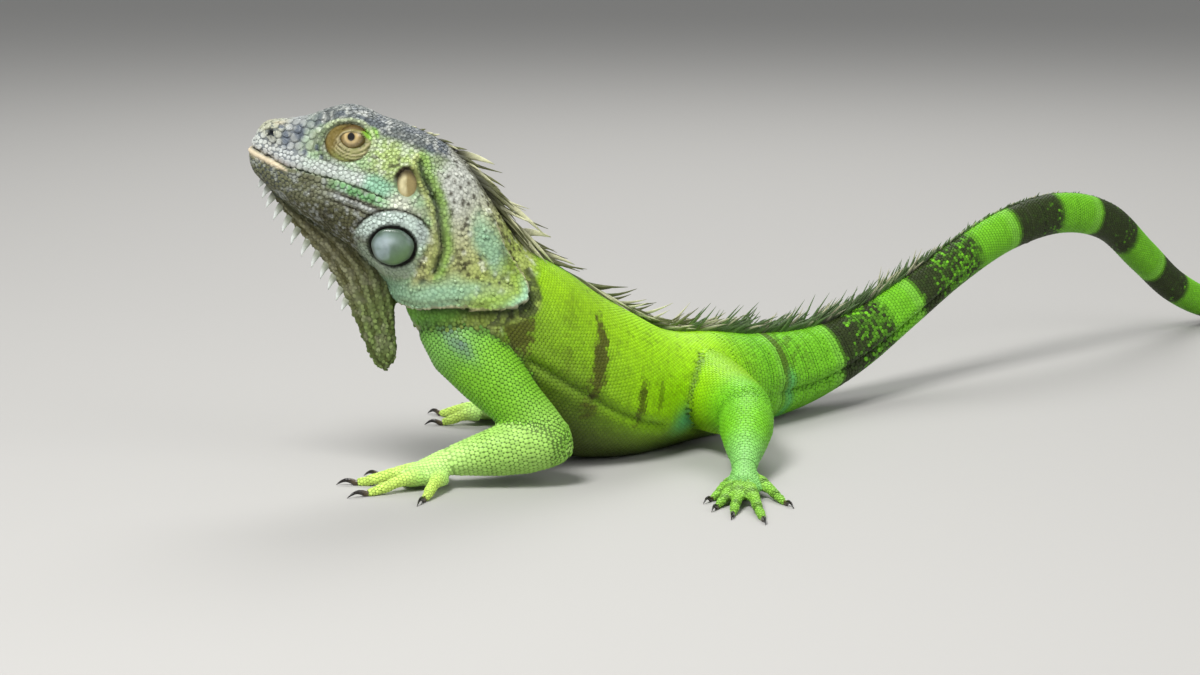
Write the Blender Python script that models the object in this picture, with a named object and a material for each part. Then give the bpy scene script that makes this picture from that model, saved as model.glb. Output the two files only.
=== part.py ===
"""A life-size green iguana, lying on a floor with its head and chest raised.

The tables are in millimetres and the meshes in metres.  +X points from the
head to the tail, +Y is the animal's right-hand side, +Z is up.  The origin is
on the floor, under the belly.  One curved line, the spine, carries the cross
sections of head, neck, trunk and tail, and thin gaps part them into nodes.
"""
import math

import bmesh
import bpy
import numpy as np

MM = 0.001           # metres in a millimetre
GAP = 0.3            # air between two touching nodes, mm
LIMB_GAP = 0.5       # air between the trunk and what grows from it, mm
SIDES = 20           # corners of a body cross section

# ---- head: a straight axis that points up and forward ----------------------
SNOUT = np.array([-147.0, -54.0, 133.5])
HEAD_PITCH = math.radians(22.0)
HEAD_BACK = np.array([math.cos(HEAD_PITCH), 0.0, -math.sin(HEAD_PITCH)])
HEAD_UP = np.array([math.sin(HEAD_PITCH), 0.0, math.cos(HEAD_PITCH)])
MOUTH_LENGTH = 57.4
# distance behind the snout, half width, height above and depth below the mouth
HEAD_SECTIONS = [
    (0.0, 4.6, 9.0, 2.4), (1.3, 7.0, 12.0, 5.0), (4.0, 8.8, 14.2, 8.4), (9.0, 10.2, 16.8, 11.0),
    (16.0, 11.8, 20.8, 13.6), (23.0, 13.6, 26.8, 15.8), (29.0, 15.2, 31.0, 17.4),
    (36.0, 16.6, 32.4, 18.8), (44.0, 17.8, 31.8, 20.4), (52.0, 19.0, 32.5, 22.4),
]
# ---- neck, trunk and tail: centre, half width, height above, depth below ---
BODY_SECTIONS = [
    ("nape", (-86.0, -53.8, 108.4), 20.0, 31.5, 25.0),
    ("neck", (-73.5, -51.5, 94.5), 19.4, 28.5, 25.0),
    ("withers", (-58.0, -45.0, 73.0), 21.0, 28.5, 28.5),
    ("chest", (-36.0, -33.0, 53.0), 25.0, 31.0, 31.5),
    ("belly", (-13.0, -15.0, 35.5), 28.5, 31.0, 35.4),
    ("loin", (12.0, 11.0, 26.0), 27.5, 24.5, 28.4),
    ("hip", (35.0, 35.0, 22.5), 22.5, 22.0, 23.2),
    ("vent", (58.0, 59.0, 20.2), 18.0, 19.5, 20.4),
    ("tail_1", (80.0, 82.0, 20.5), 15.2, 17.2, 17.2),
    ("tail_2", (104.0, 108.0, 26.5), 12.4, 14.6, 14.2),
    ("tail_3", (130.0, 137.0, 39.0), 10.2, 12.2, 11.8),
    ("tail_4", (156.0, 164.0, 53.5), 9.0, 11.0, 10.6),
    ("tail_5", (183.0, 191.0, 65.5), 8.6, 10.6, 10.4),
    ("tail_6", (213.0, 221.0, 69.5), 8.2, 10.1, 10.0),
    ("tail_7", (240.0, 248.0, 61.5), 7.8, 9.6, 9.5),
    ("tail_8", (262.0, 271.0, 41.0), 7.4, 9.0, 8.9),
    ("tail_9", (283.0, 293.0, 21.5), 7.0, 8.4, 8.3),
    ("tail_10", (308.0, 315.0, 9.0), 6.5, 7.6, 7.6),
    ("tail_11", (344.0, 333.0, 6.6), 5.7, 6.5, 6.8),
    ("tail_12", (384.0, 331.0, 5.5), 4.8, 5.4, 5.7),
    ("tail_13", (416.0, 305.0, 4.4), 3.9, 4.4, 4.6),
    ("tail_14", (431.0, 266.0, 3.3), 2.9, 3.3, 3.5),
    ("tail_15", (427.0, 226.0, 2.2), 1.9, 2.2, 2.4),
    ("tail_tip", (409.0, 194.0, 1.1), 0.8, 0.9, 1.2),
]

# the section numbers at which the body is parted into nodes
FIRST_BODY = len(HEAD_SECTIONS)
NODE_CUTS = [
    ("head", 0.0, FIRST_BODY + 0.0), ("neck", FIRST_BODY + 0.0, FIRST_BODY + 2.0),
    ("chest", FIRST_BODY + 2.0, FIRST_BODY + 4.0), ("belly", FIRST_BODY + 4.0, FIRST_BODY + 6.9),
    ("tail_root", FIRST_BODY + 6.9, FIRST_BODY + 9.0),
    ("tail_front", FIRST_BODY + 9.0, FIRST_BODY + 12.0),
    ("tail_middle", FIRST_BODY + 12.0, FIRST_BODY + 15.5),
    ("tail_rear", FIRST_BODY + 15.5, FIRST_BODY + 18.5),
    ("tail_end", FIRST_BODY + 18.5, FIRST_BODY + 23.0),
]
RINGS_PER_SECTION = 2
HEAD_RINGS_PER_SECTION = 1.5
TURN_REACH = 0.9        # sections either way that set which way a ring faces

# ---- head details: distance behind the snout, height over the mouth --------
EYE = (36.5, 20.5)
EYE_RADIUS = 6.4
EYE_SINK = 4.6             # how deep the eyeball's centre lies in the head
EAR = (62.8, 12.4)
EAR_RADII = (4.6, 6.2)
SHIELD = (66.8, -12.6)
SHIELD_RADIUS = 8.8
NOSTRIL = (6.3, 10.5)
# soft swellings: distance, height, spread along, spread up, push outward
HEAD_RELIEF = [
    (31.0, 27.5, 8.0, 2.8, 2.3), (24.0, 20.5, 4.5, 4.0, -1.2), (48.0, 22.0, 6.5, 5.0, -1.6),
    (36.5, 20.0, 6.0, 5.0, -0.8), (66.0, -11.5, 10.0, 9.0, 2.4), (6.3, 11.2, 3.0, 3.0, 0.9),
    (17.0, 13.0, 7.0, 5.0, -1.1), (30.0, 5.0, 20.0, 2.2, 0.8), (52.0, 12.0, 8.0, 4.0, 0.6),
]

# ---- dewlap: line where it leaves the throat, and its free edge ------------
DEWLAP_Y = -53.5
DEWLAP_ROWS = [
    ((-138.0, 124.5), (-142.8, 121.5), 2.6), ((-130.0, 119.0), (-138.5, 112.5), 2.8),
    ((-119.0, 112.0), (-130.0, 100.5), 3.0), ((-107.0, 104.0), (-120.0, 88.5), 3.2),
    ((-97.0, 93.0), (-112.5, 76.0), 3.4), ((-91.5, 82.0), (-107.5, 64.0), 3.2),
    ((-90.0, 71.0), (-103.0, 52.5), 3.0), ((-90.0, 60.0), (-99.0, 44.5), 2.6),
    ((-90.0, 50.0), (-94.0, 42.0), 2.2),
]
DEWLAP_SIDES = 10
GULAR_SPINES = 9
GULAR_SPINE_LENGTH = 4.6

# ---- crest: a row of spines along the back ---------------------------------
# section number, spine length
CREST_LENGTHS = [
    (-0.6, 3.0), (0.2, 9.0), (0.9, 15.0), (1.8, 15.0), (3.0, 9.5), (4.5, 8.0), (6.0, 8.5),
    (7.5, 8.5), (9.0, 7.5), (11.0, 5.0), (12.8, 2.0),
]
CREST_SPACING = 11.6
CREST_LEAN = math.radians(58.0)

# ---- limbs: joints in millimetres -------------------------------------------
# a limb's bone line, and (share of the length, half width, half height) rows
ARM_PROFILE = [(-0.2, 10.0, 11.0), (0.05, 13.6, 15.0), (0.35, 12.2, 14.0), (0.65, 10.6, 11.6),
               (0.9, 10.0, 10.4), (1.06, 8.4, 8.4), (1.17, 4.6, 4.6)]
FOREARM_PROFILE = [(-0.2, 5.0, 5.0), (-0.12, 8.6, 8.6), (0.02, 11.0, 11.0), (0.25, 11.8, 11.6),
                   (0.55, 10.6, 10.2), (0.85, 8.4, 7.6), (1.0, 7.4, 6.2)]
THIGH_PROFILE = [(-0.15, 12.0, 12.0), (0.1, 17.0, 17.0), (0.4, 16.5, 16.0), (0.7, 14.4, 13.8),
                 (0.95, 12.4, 12.2), (1.1, 9.6, 9.4), (1.2, 5.0, 5.0)]
SHANK_PROFILE = [(-0.16, 5.0, 5.0), (-0.08, 9.4, 9.2), (0.08, 11.6, 11.0), (0.3, 11.4, 10.8),
                 (0.6, 8.8, 8.2), (0.85, 6.2, 5.6), (1.0, 5.6, 4.8)]
LIMBS = {
    "arm_left": dict(joints=[(-66.0, -56.0, 57.0), (-28.0, -69.0, 18.0), (-68.0, -73.0, 10.5)],
                     profiles=(ARM_PROFILE, FOREARM_PROFILE), names=("upper_arm", "forearm", "hand"),
                     side="left", foot="hand", aim=182.0, turn=1),
    "arm_right": dict(joints=[(-50.0, -20.0, 54.0), (-34.0, 20.0, 18.0), (-54.0, 48.0, 9.5)],
                      profiles=(ARM_PROFILE, FOREARM_PROFILE), names=("upper_arm", "forearm", "hand"),
                      side="right", foot="hand", aim=106.0, turn=-1),
    "leg_left": dict(joints=[(34.0, 18.0, 23.5), (52.0, -27.0, 21.0), (49.0, -74.0, 7.5)],
                     profiles=(THIGH_PROFILE, SHANK_PROFILE), names=("thigh", "shank", "foot"),
                     side="left", foot="foot", aim=266.0, turn=1),
    "leg_right": dict(joints=[(38.0, 50.0, 24.0), (16.0, 86.0, 20.0), (58.0, 106.0, 7.5)],
                      profiles=(THIGH_PROFILE, SHANK_PROFILE), names=("thigh", "shank", "foot"),
                      side="right", foot="foot", aim=112.0, turn=-1),
}
# palm length, half width, half height; then for each digit its turn away from
# the palm's axis towards the thumb side, its root's distance, length, radius
EXTREMITIES = {
    "hand": dict(palm=(17.0, 8.8, 5.2), root=(7.0, 5.8), claw=7.8,
                 digits=[(70.0, 6.0, 14.0, 2.9), (33.0, 12.0, 21.0, 3.1), (6.0, 13.0, 25.0, 3.2),
                         (-27.0, 12.0, 24.0, 3.1), (-72.0, 7.0, 19.0, 3.0)]),
    "foot": dict(palm=(24.0, 7.4, 4.8), root=(5.4, 4.6), claw=6.2,
                 digits=[(30.0, 15.0, 14.0, 2.6), (17.0, 19.0, 22.0, 2.7), (4.0, 21.0, 31.0, 2.8),
                         (-10.0, 20.0, 40.0, 2.8), (-28.0, 9.0, 26.0, 2.7)]),
}
DIGIT_SIDES = 6
CLAW_SIDES = 4

# ---- colours ----------------------------------------------------------------
GREEN = (0.25, 0.52, 0.04)
COLOURS = {
    "head": (0.36, 0.42, 0.32), "jaw": (0.40, 0.45, 0.36), "neck": (0.42, 0.40, 0.20),
    "dewlap": (0.30, 0.28, 0.13), "chest": (0.28, 0.55, 0.05), "belly": (0.33, 0.62, 0.03),
    "tail": (0.14, 0.42, 0.06), "limb": GREEN, "claw": (0.05, 0.03, 0.02),
    "eye": (0.55, 0.22, 0.03), "ear": (0.45, 0.38, 0.24), "shield": (0.45, 0.66, 0.62),
}
ROUGHNESS = {"eye": 0.08, "claw": 0.35, "shield": 0.3}


# ============================== mesh helpers =================================
def collection(name):
    """Make a collection in the scene."""
    made = bpy.data.collections.new(name)
    bpy.context.scene.collection.children.link(made)
    return made


def material(kind):
    """One Principled material for each kind of surface."""
    found = bpy.data.materials.get(kind)
    if found:
        return found
    made = bpy.data.materials.new(kind)
    made.use_nodes = True
    shader = made.node_tree.nodes["Principled BSDF"]
    shader.inputs["Base Color"].default_value = (*COLOURS[kind], 1.0)
    shader.inputs["Roughness"].default_value = ROUGHNESS.get(kind, 0.55)
    shader.inputs["Metallic"].default_value = 0.0
    return made


def loft(name, rings, where):
    """Join rings of points, in millimetres, into one closed solid."""
    work = bmesh.new()
    rows = [[work.verts.new(point * MM) for point in ring] for ring in rings]
    for near, far in zip(rows, rows[1:]):
        for k in range(len(near)):
            after = (k + 1) % len(near)
            work.faces.new((near[k], near[after], far[after], far[k]))
    work.faces.new(rows[0][::-1])
    work.faces.new(rows[-1])
    if work.calc_volume(signed=True) < 0.0:
        bmesh.ops.reverse_faces(work, faces=work.faces)
    mesh = bpy.data.meshes.new(name)
    work.to_mesh(mesh)
    work.free()
    made = bpy.data.objects.new(name, mesh)
    where.objects.link(made)
    return made


def discard(obj):
    """Remove an object and its mesh."""
    mesh = obj.data
    bpy.data.objects.remove(obj)
    bpy.data.meshes.remove(mesh)


def largest_body(mesh):
    """Keep only the biggest connected piece of a mesh."""
    work = bmesh.new()
    work.from_mesh(mesh)
    bmesh.ops.remove_doubles(work, verts=work.verts, dist=0.0000005)
    left = set(work.verts)
    bodies = []
    while left:
        start = left.pop()
        body = {start}
        edge_of_body = [start]
        while edge_of_body:
            for edge in edge_of_body.pop().link_edges:
                for vert in edge.verts:
                    if vert in left:
                        left.discard(vert)
                        body.add(vert)
                        edge_of_body.append(vert)
        bodies.append(body)
    bodies.sort(key=len)
    for body in bodies[:-1]:
        bmesh.ops.delete(work, geom=list(body), context="VERTS")
    work.to_mesh(mesh)
    work.free()


def combine(target, other, operation):
    """Boolean another object with the target, and keep the result as its mesh."""
    modifier = target.modifiers.new(operation, "BOOLEAN")
    modifier.operation = operation
    modifier.solver = "EXACT"
    modifier.object = other
    graph = bpy.context.evaluated_depsgraph_get()
    result = bpy.data.meshes.new_from_object(target.evaluated_get(graph))
    target.modifiers.clear()
    old = target.data
    target.data = result
    bpy.data.meshes.remove(old)
    largest_body(result)


def joined(name, objects, where):
    """One object that holds the meshes of several."""
    work = bmesh.new()
    for obj in objects:
        work.from_mesh(obj.data)
    mesh = bpy.data.meshes.new(name)
    work.to_mesh(mesh)
    work.free()
    made = bpy.data.objects.new(name, mesh)
    where.objects.link(made)
    for obj in objects:
        discard(obj)
    return made


def finish(obj, kind, crease=50.0):
    """Shade the node smooth and give it its material."""
    obj.data.materials.clear()
    obj.data.materials.append(material(kind))
    obj.data.shade_smooth()
    obj.data.set_sharp_from_angle(angle=math.radians(crease))


# ============================== the spine ====================================
def spine_rows():
    """Centres and sizes of every cross section, from snout to tail tip."""
    rows = [(SNOUT + along * HEAD_BACK, wide, up, down) for along, wide, up, down in HEAD_SECTIONS]
    rows += [(np.array(centre), wide, up, down) for _, centre, wide, up, down in BODY_SECTIONS]
    return np.array([[*centre, wide, up, down] for centre, wide, up, down in rows])


SPINE = spine_rows()


def spine_at(number):
    """Smooth value of the six columns at a section number."""
    last = len(SPINE) - 1
    number = min(max(number, 0.0), float(last))
    i = min(int(number), last - 1)
    t = number - i
    before = SPINE[i - 1] if i > 0 else 2 * SPINE[i] - SPINE[i + 1]
    after = SPINE[i + 2] if i + 2 <= last else 2 * SPINE[i + 1] - SPINE[i]
    p1, p2 = SPINE[i], SPINE[i + 1]
    span = np.linalg.norm(p2[:3] - p1[:3])
    m1 = (p2 - before) * span / (span + np.linalg.norm(p1[:3] - before[:3]))
    m2 = (after - p1) * span / (span + np.linalg.norm(after[:3] - p2[:3]))
    value = ((2 * t**3 - 3 * t**2 + 1) * p1 + (t**3 - 2 * t**2 + t) * m1
             + (-2 * t**3 + 3 * t**2) * p2 + (t**3 - t**2) * m2)
    return value


def frame_at(number):
    """Centre, tail-ward axis, left-ward axis, up axis and sizes at a section."""
    value = spine_at(number)
    slope = spine_at(number + TURN_REACH)[:3] - spine_at(number - TURN_REACH)[:3]
    along = slope / np.linalg.norm(slope)
    up = np.array([0.0, 0.0, 1.0]) - along * along[2]
    up = up / np.linalg.norm(up)
    side = np.cross(up, along)
    return value[:3], along, side, up, value[3:]


def blend(low, high, number):
    """0 below low, 1 above high, with soft ends."""
    share = min(max((number - low) / (high - low), 0.0), 1.0)
    return share * share * (3.0 - 2.0 * share)


def head_push(along, height):
    """Outward push of the head's side at a place of its profile."""
    return sum(push * math.exp(-((along - a) / sa) ** 2 - ((height - b) / sb) ** 2)
               for a, b, sa, sb, push in HEAD_RELIEF)


def body_ring(number, grow=0.0, shift=0.0, sides=SIDES):
    """One cross section: a rounded outline, fuller on the head's brow and jaw."""
    centre, along, side, up, (wide, over, under) = frame_at(number)
    centre = centre + along * shift
    to_body = blend(FIRST_BODY - 2.0, FIRST_BODY + 1.5, number)
    over_power = 2.0 / (3.0 * (1.0 - to_body) + 1.85 * to_body)
    under_power = 2.0 / (2.2 * (1.0 - to_body) + 2.3 * to_body)
    ring = []
    for k in range(sides):
        angle = 2.0 * math.pi * (k + 0.5) / sides
        cos, sin = math.cos(angle), math.sin(angle)
        power = over_power if sin > 0.0 else under_power
        out = abs(cos) ** power * (wide + grow)
        rise = abs(sin) ** power * ((over if sin > 0.0 else under) + grow)
        height = math.copysign(rise, sin)
        if number < FIRST_BODY + 1.5:
            behind = np.dot(centre - SNOUT, HEAD_BACK)
            out += head_push(behind, height) * min(1.0, 2.0 * abs(cos)) * (1.0 - blend(
                FIRST_BODY, FIRST_BODY + 1.5, number))
        ring.append(centre + side * math.copysign(out, cos) + up * height)
    return ring


def ring_numbers(start, stop):
    """The section numbers at which a length of the body has its rings."""
    rate = HEAD_RINGS_PER_SECTION if stop <= FIRST_BODY else RINGS_PER_SECTION
    steps = max(2, round((stop - start) * rate))
    return [start + (stop - start) * k / steps for k in range(steps + 1)]


def body_length(name, start, stop, where):
    """The solid between two section numbers, short of both by half a gap."""
    sides = SIDES if stop < FIRST_BODY + 9.5 else 12
    numbers = ring_numbers(start, stop)
    rings = [body_ring(number, sides=sides) for number in numbers]
    if start > 0.0:
        rings[0] = body_ring(start, shift=GAP / 2, sides=sides)
    if stop < len(SPINE) - 1:
        rings[-1] = body_ring(stop, shift=-GAP / 2, sides=sides)
    return loft(name, rings, where)


def body_room(name, lengths, where):
    """The space that some lengths of the body take up with the gap around them."""
    numbers = sorted({number for _, start, stop in lengths for number in ring_numbers(start, stop)})
    return loft(name, [body_ring(number, grow=LIMB_GAP) for number in numbers], where)


def head_point(along, height, out):
    """A point in the head's own axes; out is positive on the animal's left."""
    return SNOUT + along * HEAD_BACK + height * HEAD_UP + np.array([0.0, -out, 0.0])


def head_surface(along, height):
    """Half width of the head at a place of its profile."""
    number = float(np.interp(along, [row[0] for row in HEAD_SECTIONS] + [66.0, 80.0],
                             list(range(FIRST_BODY)) + [FIRST_BODY, FIRST_BODY + 1.0]))
    left_half = [p for p in body_ring(number, sides=96) if p[1] < SNOUT[1]]
    best = min(left_half, key=lambda p: abs(np.dot(p - SNOUT, HEAD_UP) - height))
    return SNOUT[1] - best[1]


def head_normal(along, height, side):
    """Outward direction of the head's skin at a place of its profile."""
    step = 3.0
    ahead = head_surface(along + step, height) - head_surface(along - step, height)
    above = head_surface(along, height + step) - head_surface(along, height - step)
    out = np.array([0.0, -side, 0.0]) - HEAD_BACK * ahead / (2 * step) - HEAD_UP * above / (2 * step)
    return out / np.linalg.norm(out)


# ============================== small solids =================================
def ellipsoid(name, centre, axes, radii, where, segments=16, rings=10):
    """A ball stretched along three given axes."""
    work = bmesh.new()
    bmesh.ops.create_uvsphere(work, u_segments=segments, v_segments=rings, radius=1.0)
    for vert in work.verts:
        place = sum(axis * radius * vert.co[i] for i, (axis, radius) in enumerate(zip(axes, radii)))
        vert.co = (centre + place) * MM
    if work.calc_volume(signed=True) < 0.0:
        bmesh.ops.reverse_faces(work, faces=work.faces)
    mesh = bpy.data.meshes.new(name)
    work.to_mesh(mesh)
    work.free()
    made = bpy.data.objects.new(name, mesh)
    where.objects.link(made)
    return made


def box(name, low, high, where):
    """A plain box between two corners."""
    work = bmesh.new()
    bmesh.ops.create_cube(work, size=1.0)
    for vert in work.verts:
        vert.co = [(low[i] + (high[i] - low[i]) * (vert.co[i] + 0.5)) * MM for i in range(3)]
    mesh = bpy.data.meshes.new(name)
    work.to_mesh(mesh)
    work.free()
    made = bpy.data.objects.new(name, mesh)
    where.objects.link(made)
    return made


def tube_rings(points, radii, sides, wide=(1.0, 1.0), start_angle=0.5):
    """Rings along a bent path, each square to it."""
    points = [np.array(point, dtype=float) for point in points]
    rings = []
    for i, point in enumerate(points):
        ahead = points[min(i + 1, len(points) - 1)] - points[max(i - 1, 0)]
        ahead = ahead / np.linalg.norm(ahead)
        up = np.array([0.0, 0.0, 1.0]) - ahead * ahead[2]
        if np.linalg.norm(up) < 0.05:
            up = np.array([0.0, 1.0, 0.0]) - ahead * ahead[1]
        up = up / np.linalg.norm(up)
        side = np.cross(up, ahead)
        ring = []
        for k in range(sides):
            angle = 2.0 * math.pi * (k + start_angle) / sides
            ring.append(point + side * math.cos(angle) * radii[i] * wide[0]
                        + up * math.sin(angle) * radii[i] * wide[1])
        rings.append(ring)
    return rings


def spine_cone(name, root, lean, thick, long, where, sides=3, sink=1.2):
    """One flat spine: a leaning cone, a little curved, with its root sunk in."""
    root, thick = np.array(root), np.array(thick)
    lean = lean / np.linalg.norm(lean)
    width_way = np.cross(lean, thick)
    width_way = width_way / np.linalg.norm(width_way)
    rings = []
    for share, size in ((-sink / long, 1.0), (0.5, 0.5), (1.0, 0.07)):
        centre = root + lean * long * share
        rings.append([centre + thick * 0.9 * size * math.cos(2.0 * math.pi * k / sides)
                      + width_way * 0.19 * min(long, 12.0) * size * math.sin(2.0 * math.pi * k / sides)
                      for k in range(sides)])
    return loft(name, rings, where)


# ============================== crest and dewlap =============================
def crest_spines(start, stop, where):
    """The row of spines that stands on the back between two section numbers."""
    numbers = np.arange(FIRST_BODY + CREST_LENGTHS[0][0], FIRST_BODY + CREST_LENGTHS[-1][0], 0.02)
    centres = [frame_at(n)[0] + frame_at(n)[3] * frame_at(n)[4][1] for n in numbers]
    travelled = np.concatenate([[0.0], np.cumsum([np.linalg.norm(b - a)
                                                  for a, b in zip(centres, centres[1:])])])
    spines = []
    for distance in np.arange(0.0, travelled[-1], CREST_SPACING):
        number = float(np.interp(distance, travelled, numbers))
        length = float(np.interp(number - FIRST_BODY, *zip(*CREST_LENGTHS)))
        centre, along, side, up, sizes = frame_at(number)
        margin = 0.12
        if not start + margin < number < stop - margin:
            continue
        lean = up * math.cos(CREST_LEAN) + along * math.sin(CREST_LEAN)
        spines.append(spine_cone("spine", centre + up * (sizes[1] - 0.6), lean, side, length, where))
    return spines


def make_dewlap(where, cutters):
    """The thin flap under the throat, with a row of small spines in front."""
    rings = []
    for (inner_x, inner_z), (edge_x, edge_z), thick in DEWLAP_ROWS:
        inner = np.array([inner_x, DEWLAP_Y, inner_z])
        edge = np.array([edge_x, DEWLAP_Y, edge_z])
        reach = (edge - inner) / 2
        ring = []
        for k in range(DEWLAP_SIDES):
            angle = 2.0 * math.pi * k / DEWLAP_SIDES
            cos, sin = math.cos(angle), math.sin(angle)
            taper = 1.0 - 0.45 * cos
            ring.append((inner + edge) / 2 + reach * cos + np.array([0.0, 1.0, 0.0]) * thick * taper * sin)
        rings.append(ring)
    flap = loft("dewlap", rings, where)
    edges = np.array([row[1] for row in DEWLAP_ROWS])
    inners = np.array([row[0] for row in DEWLAP_ROWS])
    spines = []
    for k in range(GULAR_SPINES):
        place = 0.25 + 4.3 * k / (GULAR_SPINES - 1)
        rows = range(len(edges))
        root = np.array([np.interp(place, rows, edges[:, 0]), np.interp(place, rows, edges[:, 1])])
        inner = np.array([np.interp(place, rows, inners[:, 0]), np.interp(place, rows, inners[:, 1])])
        out = (root - inner) / np.linalg.norm(root - inner)
        lean = np.array([out[0], 0.0, out[1]]) + np.array([0.25, 0.0, -0.35])
        length = GULAR_SPINE_LENGTH * (0.75 + 0.5 * math.sin(math.pi * k / (GULAR_SPINES - 1)))
        spines.append(spine_cone("spine", [root[0], DEWLAP_Y, root[1]] - lean * 0.4, lean,
                                 np.array([0.0, 1.0, 0.0]), length, cutters, sink=1.6))
    row = joined("gular_row", spines, cutters)
    combine(flap, row, "UNION")
    discard(row)
    return flap


# ============================== limbs ========================================
def limb_segment(name, start, end, profile, where, grow=0.0, sides=11):
    """A muscled length between two joints, with rounded ends."""
    start, end = np.array(start), np.array(end)
    bone = end - start
    length = np.linalg.norm(bone)
    ahead = bone / length
    side = np.cross(np.array([0.0, 0.0, 1.0]), ahead)
    side = side / np.linalg.norm(side)
    up = np.cross(ahead, side)
    rings = []
    for i, (share, wide, high) in enumerate(profile):
        extra = -grow if i == 0 else grow if i == len(profile) - 1 else 0.0
        centre = start + bone * share + ahead * extra
        ring = []
        for k in range(sides):
            angle = 2.0 * math.pi * (k + 0.5) / sides
            ring.append(centre + side * (wide + grow) * math.cos(angle)
                        + up * (high + grow) * math.sin(angle))
        rings.append(ring)
    return loft(name, rings, where)


def turned(angle):
    """Unit vector on the floor at an angle in degrees, counted from +X to +Y."""
    return np.array([math.cos(math.radians(angle)), math.sin(math.radians(angle)), 0.0])


def digit_path(root, way, length, radius):
    """An arched finger: up from the palm, over the knuckle, down to its tip."""
    rows = []
    for share, lift, swell in ((0.0, 0.0, 1.0), (0.28, 1.8, 1.1), (0.5, 1.4, 0.94),
                               (0.75, 0.2, 0.98), (1.0, -0.4, 0.74)):
        point = root + way * length * share
        level = root[2] * (1.0 - share) + (0.5 * radius - 0.1) * share
        rows.append((np.array([point[0], point[1], level + lift * radius / 2.6]), radius * (
            1.0 - 0.3 * share) * swell))
    return rows


def make_extremity(limb, kind, ankle, where, cutters):
    """Palm or sole with five digits in one solid, and five claws of their own."""
    sizes = EXTREMITIES[kind]
    palm_length, half_width, half_height = sizes["palm"]
    aim = turned(limb["aim"])
    ankle = np.array(ankle)
    heel = ankle + aim * 1.0
    toe = ankle + aim * palm_length
    toe[2] = half_height - 1.8
    root_width, root_height = sizes["root"]
    profile = [(0.0, root_width, root_height), (0.55, half_width * 0.9, half_height),
               (0.85, half_width, half_height * 0.92), (1.05, half_width * 0.8, half_height * 0.7),
               (1.14, half_width * 0.4, half_height * 0.35)]
    palm = limb_segment(limb["names"][2] + "_" + limb["side"], heel, toe, profile, where, sides=10)
    digits, claws = [], []
    for number, (spread, reach, length, radius) in enumerate(sizes["digits"], 1):
        angle = limb["aim"] - spread * limb["turn"]
        way = turned(angle)
        across = turned(limb["aim"] - 90.0 * limb["turn"])
        sideways = half_width * 0.62 * math.sin(math.radians(max(-90.0, min(90.0, spread * 1.5))))
        root = ankle + aim * (reach - 4.0) + across * sideways
        root[2] = half_height - 0.9
        path = digit_path(root, way, length + 4.0, radius)
        digits.append(loft("digit", tube_rings([p for p, _ in path], [r for _, r in path],
                                               DIGIT_SIDES), cutters))
        tip, tip_radius = path[-1]
        claws.append(make_claw(f"claw_{kind}_{limb['side']}_{number}", tip, tip - path[-2][0],
                               way, tip_radius * 0.82, sizes["claw"] * (0.85 + 0.05 * min(number, 4)),
                               where))
    for digit in digits:
        combine(palm, digit, "UNION")
        discard(digit)
    return palm, claws


def make_claw(name, tip, ahead, way, radius, length, where):
    """A curved claw that starts a gap in front of the digit and dips to the floor."""
    ahead = ahead / np.linalg.norm(ahead)
    start = tip + ahead * GAP
    rings = []
    points = []
    for share in (0.0, 0.35, 0.7, 1.0):
        level = start[2] * (1.0 - share) + 0.1 * share + 1.3 * math.sin(math.pi * share)
        point = start + way * length * share
        points.append(np.array([point[0], point[1], level]))
    radii = [radius, radius * 0.78, radius * 0.46, radius * 0.14]
    rings = tube_rings(points, radii, CLAW_SIDES)
    side = np.cross(np.array([0.0, 0.0, 1.0]), ahead)
    side = side / np.linalg.norm(side)
    up = np.cross(ahead, side)
    rings[0] = [start + (side * math.cos(2.0 * math.pi * (k + 0.5) / CLAW_SIDES)
                         + up * math.sin(2.0 * math.pi * (k + 0.5) / CLAW_SIDES)) * radius
                for k in range(CLAW_SIDES)]
    return loft(name, rings, where)


# ============================== assembly =====================================
def make_body(where, cutters):
    """Head, neck, trunk and tail lengths, each with its share of the crest."""
    nodes = {}
    for name, start, stop in NODE_CUTS:
        node = body_length(name, start, stop, where)
        spines = crest_spines(start, stop, cutters)
        if spines:
            row = joined("crest_row", spines, cutters)
            combine(node, row, "UNION")
            discard(row)
        nodes[name] = node
    return nodes


def mouth_region(name, grow, where):
    """The space below the mouth line, from before the chin to the mouth's corner."""
    outline = [(-8.0, 0.6), (0.0, 0.9), (8.0, 1.2), (16.0, 0.7), (26.0, 1.5), (40.0, 3.4),
               (MOUTH_LENGTH, 4.0), (MOUTH_LENGTH - 3.0, -34.0), (-8.0, -34.0)]
    rings = []
    for out in (-30.0, 30.0):
        rings.append([head_point(along + (grow if along > 50.0 else 0.0),
                                 height + (grow if height > -10.0 else 0.0), out)
                      for along, height in outline])
    return loft(name, rings, where)


def make_jaw(head, where, cutters):
    """Part the lower jaw from the head along the mouth."""
    jaw = bpy.data.objects.new("jaw", head.data.copy())
    where.objects.link(jaw)
    tight = mouth_region("jaw_space", -GAP / 2, cutters)
    wide = mouth_region("jaw_room", GAP / 2, cutters)
    combine(jaw, tight, "INTERSECT")
    combine(head, wide, "DIFFERENCE")
    discard(tight)
    discard(wide)
    return jaw


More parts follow.
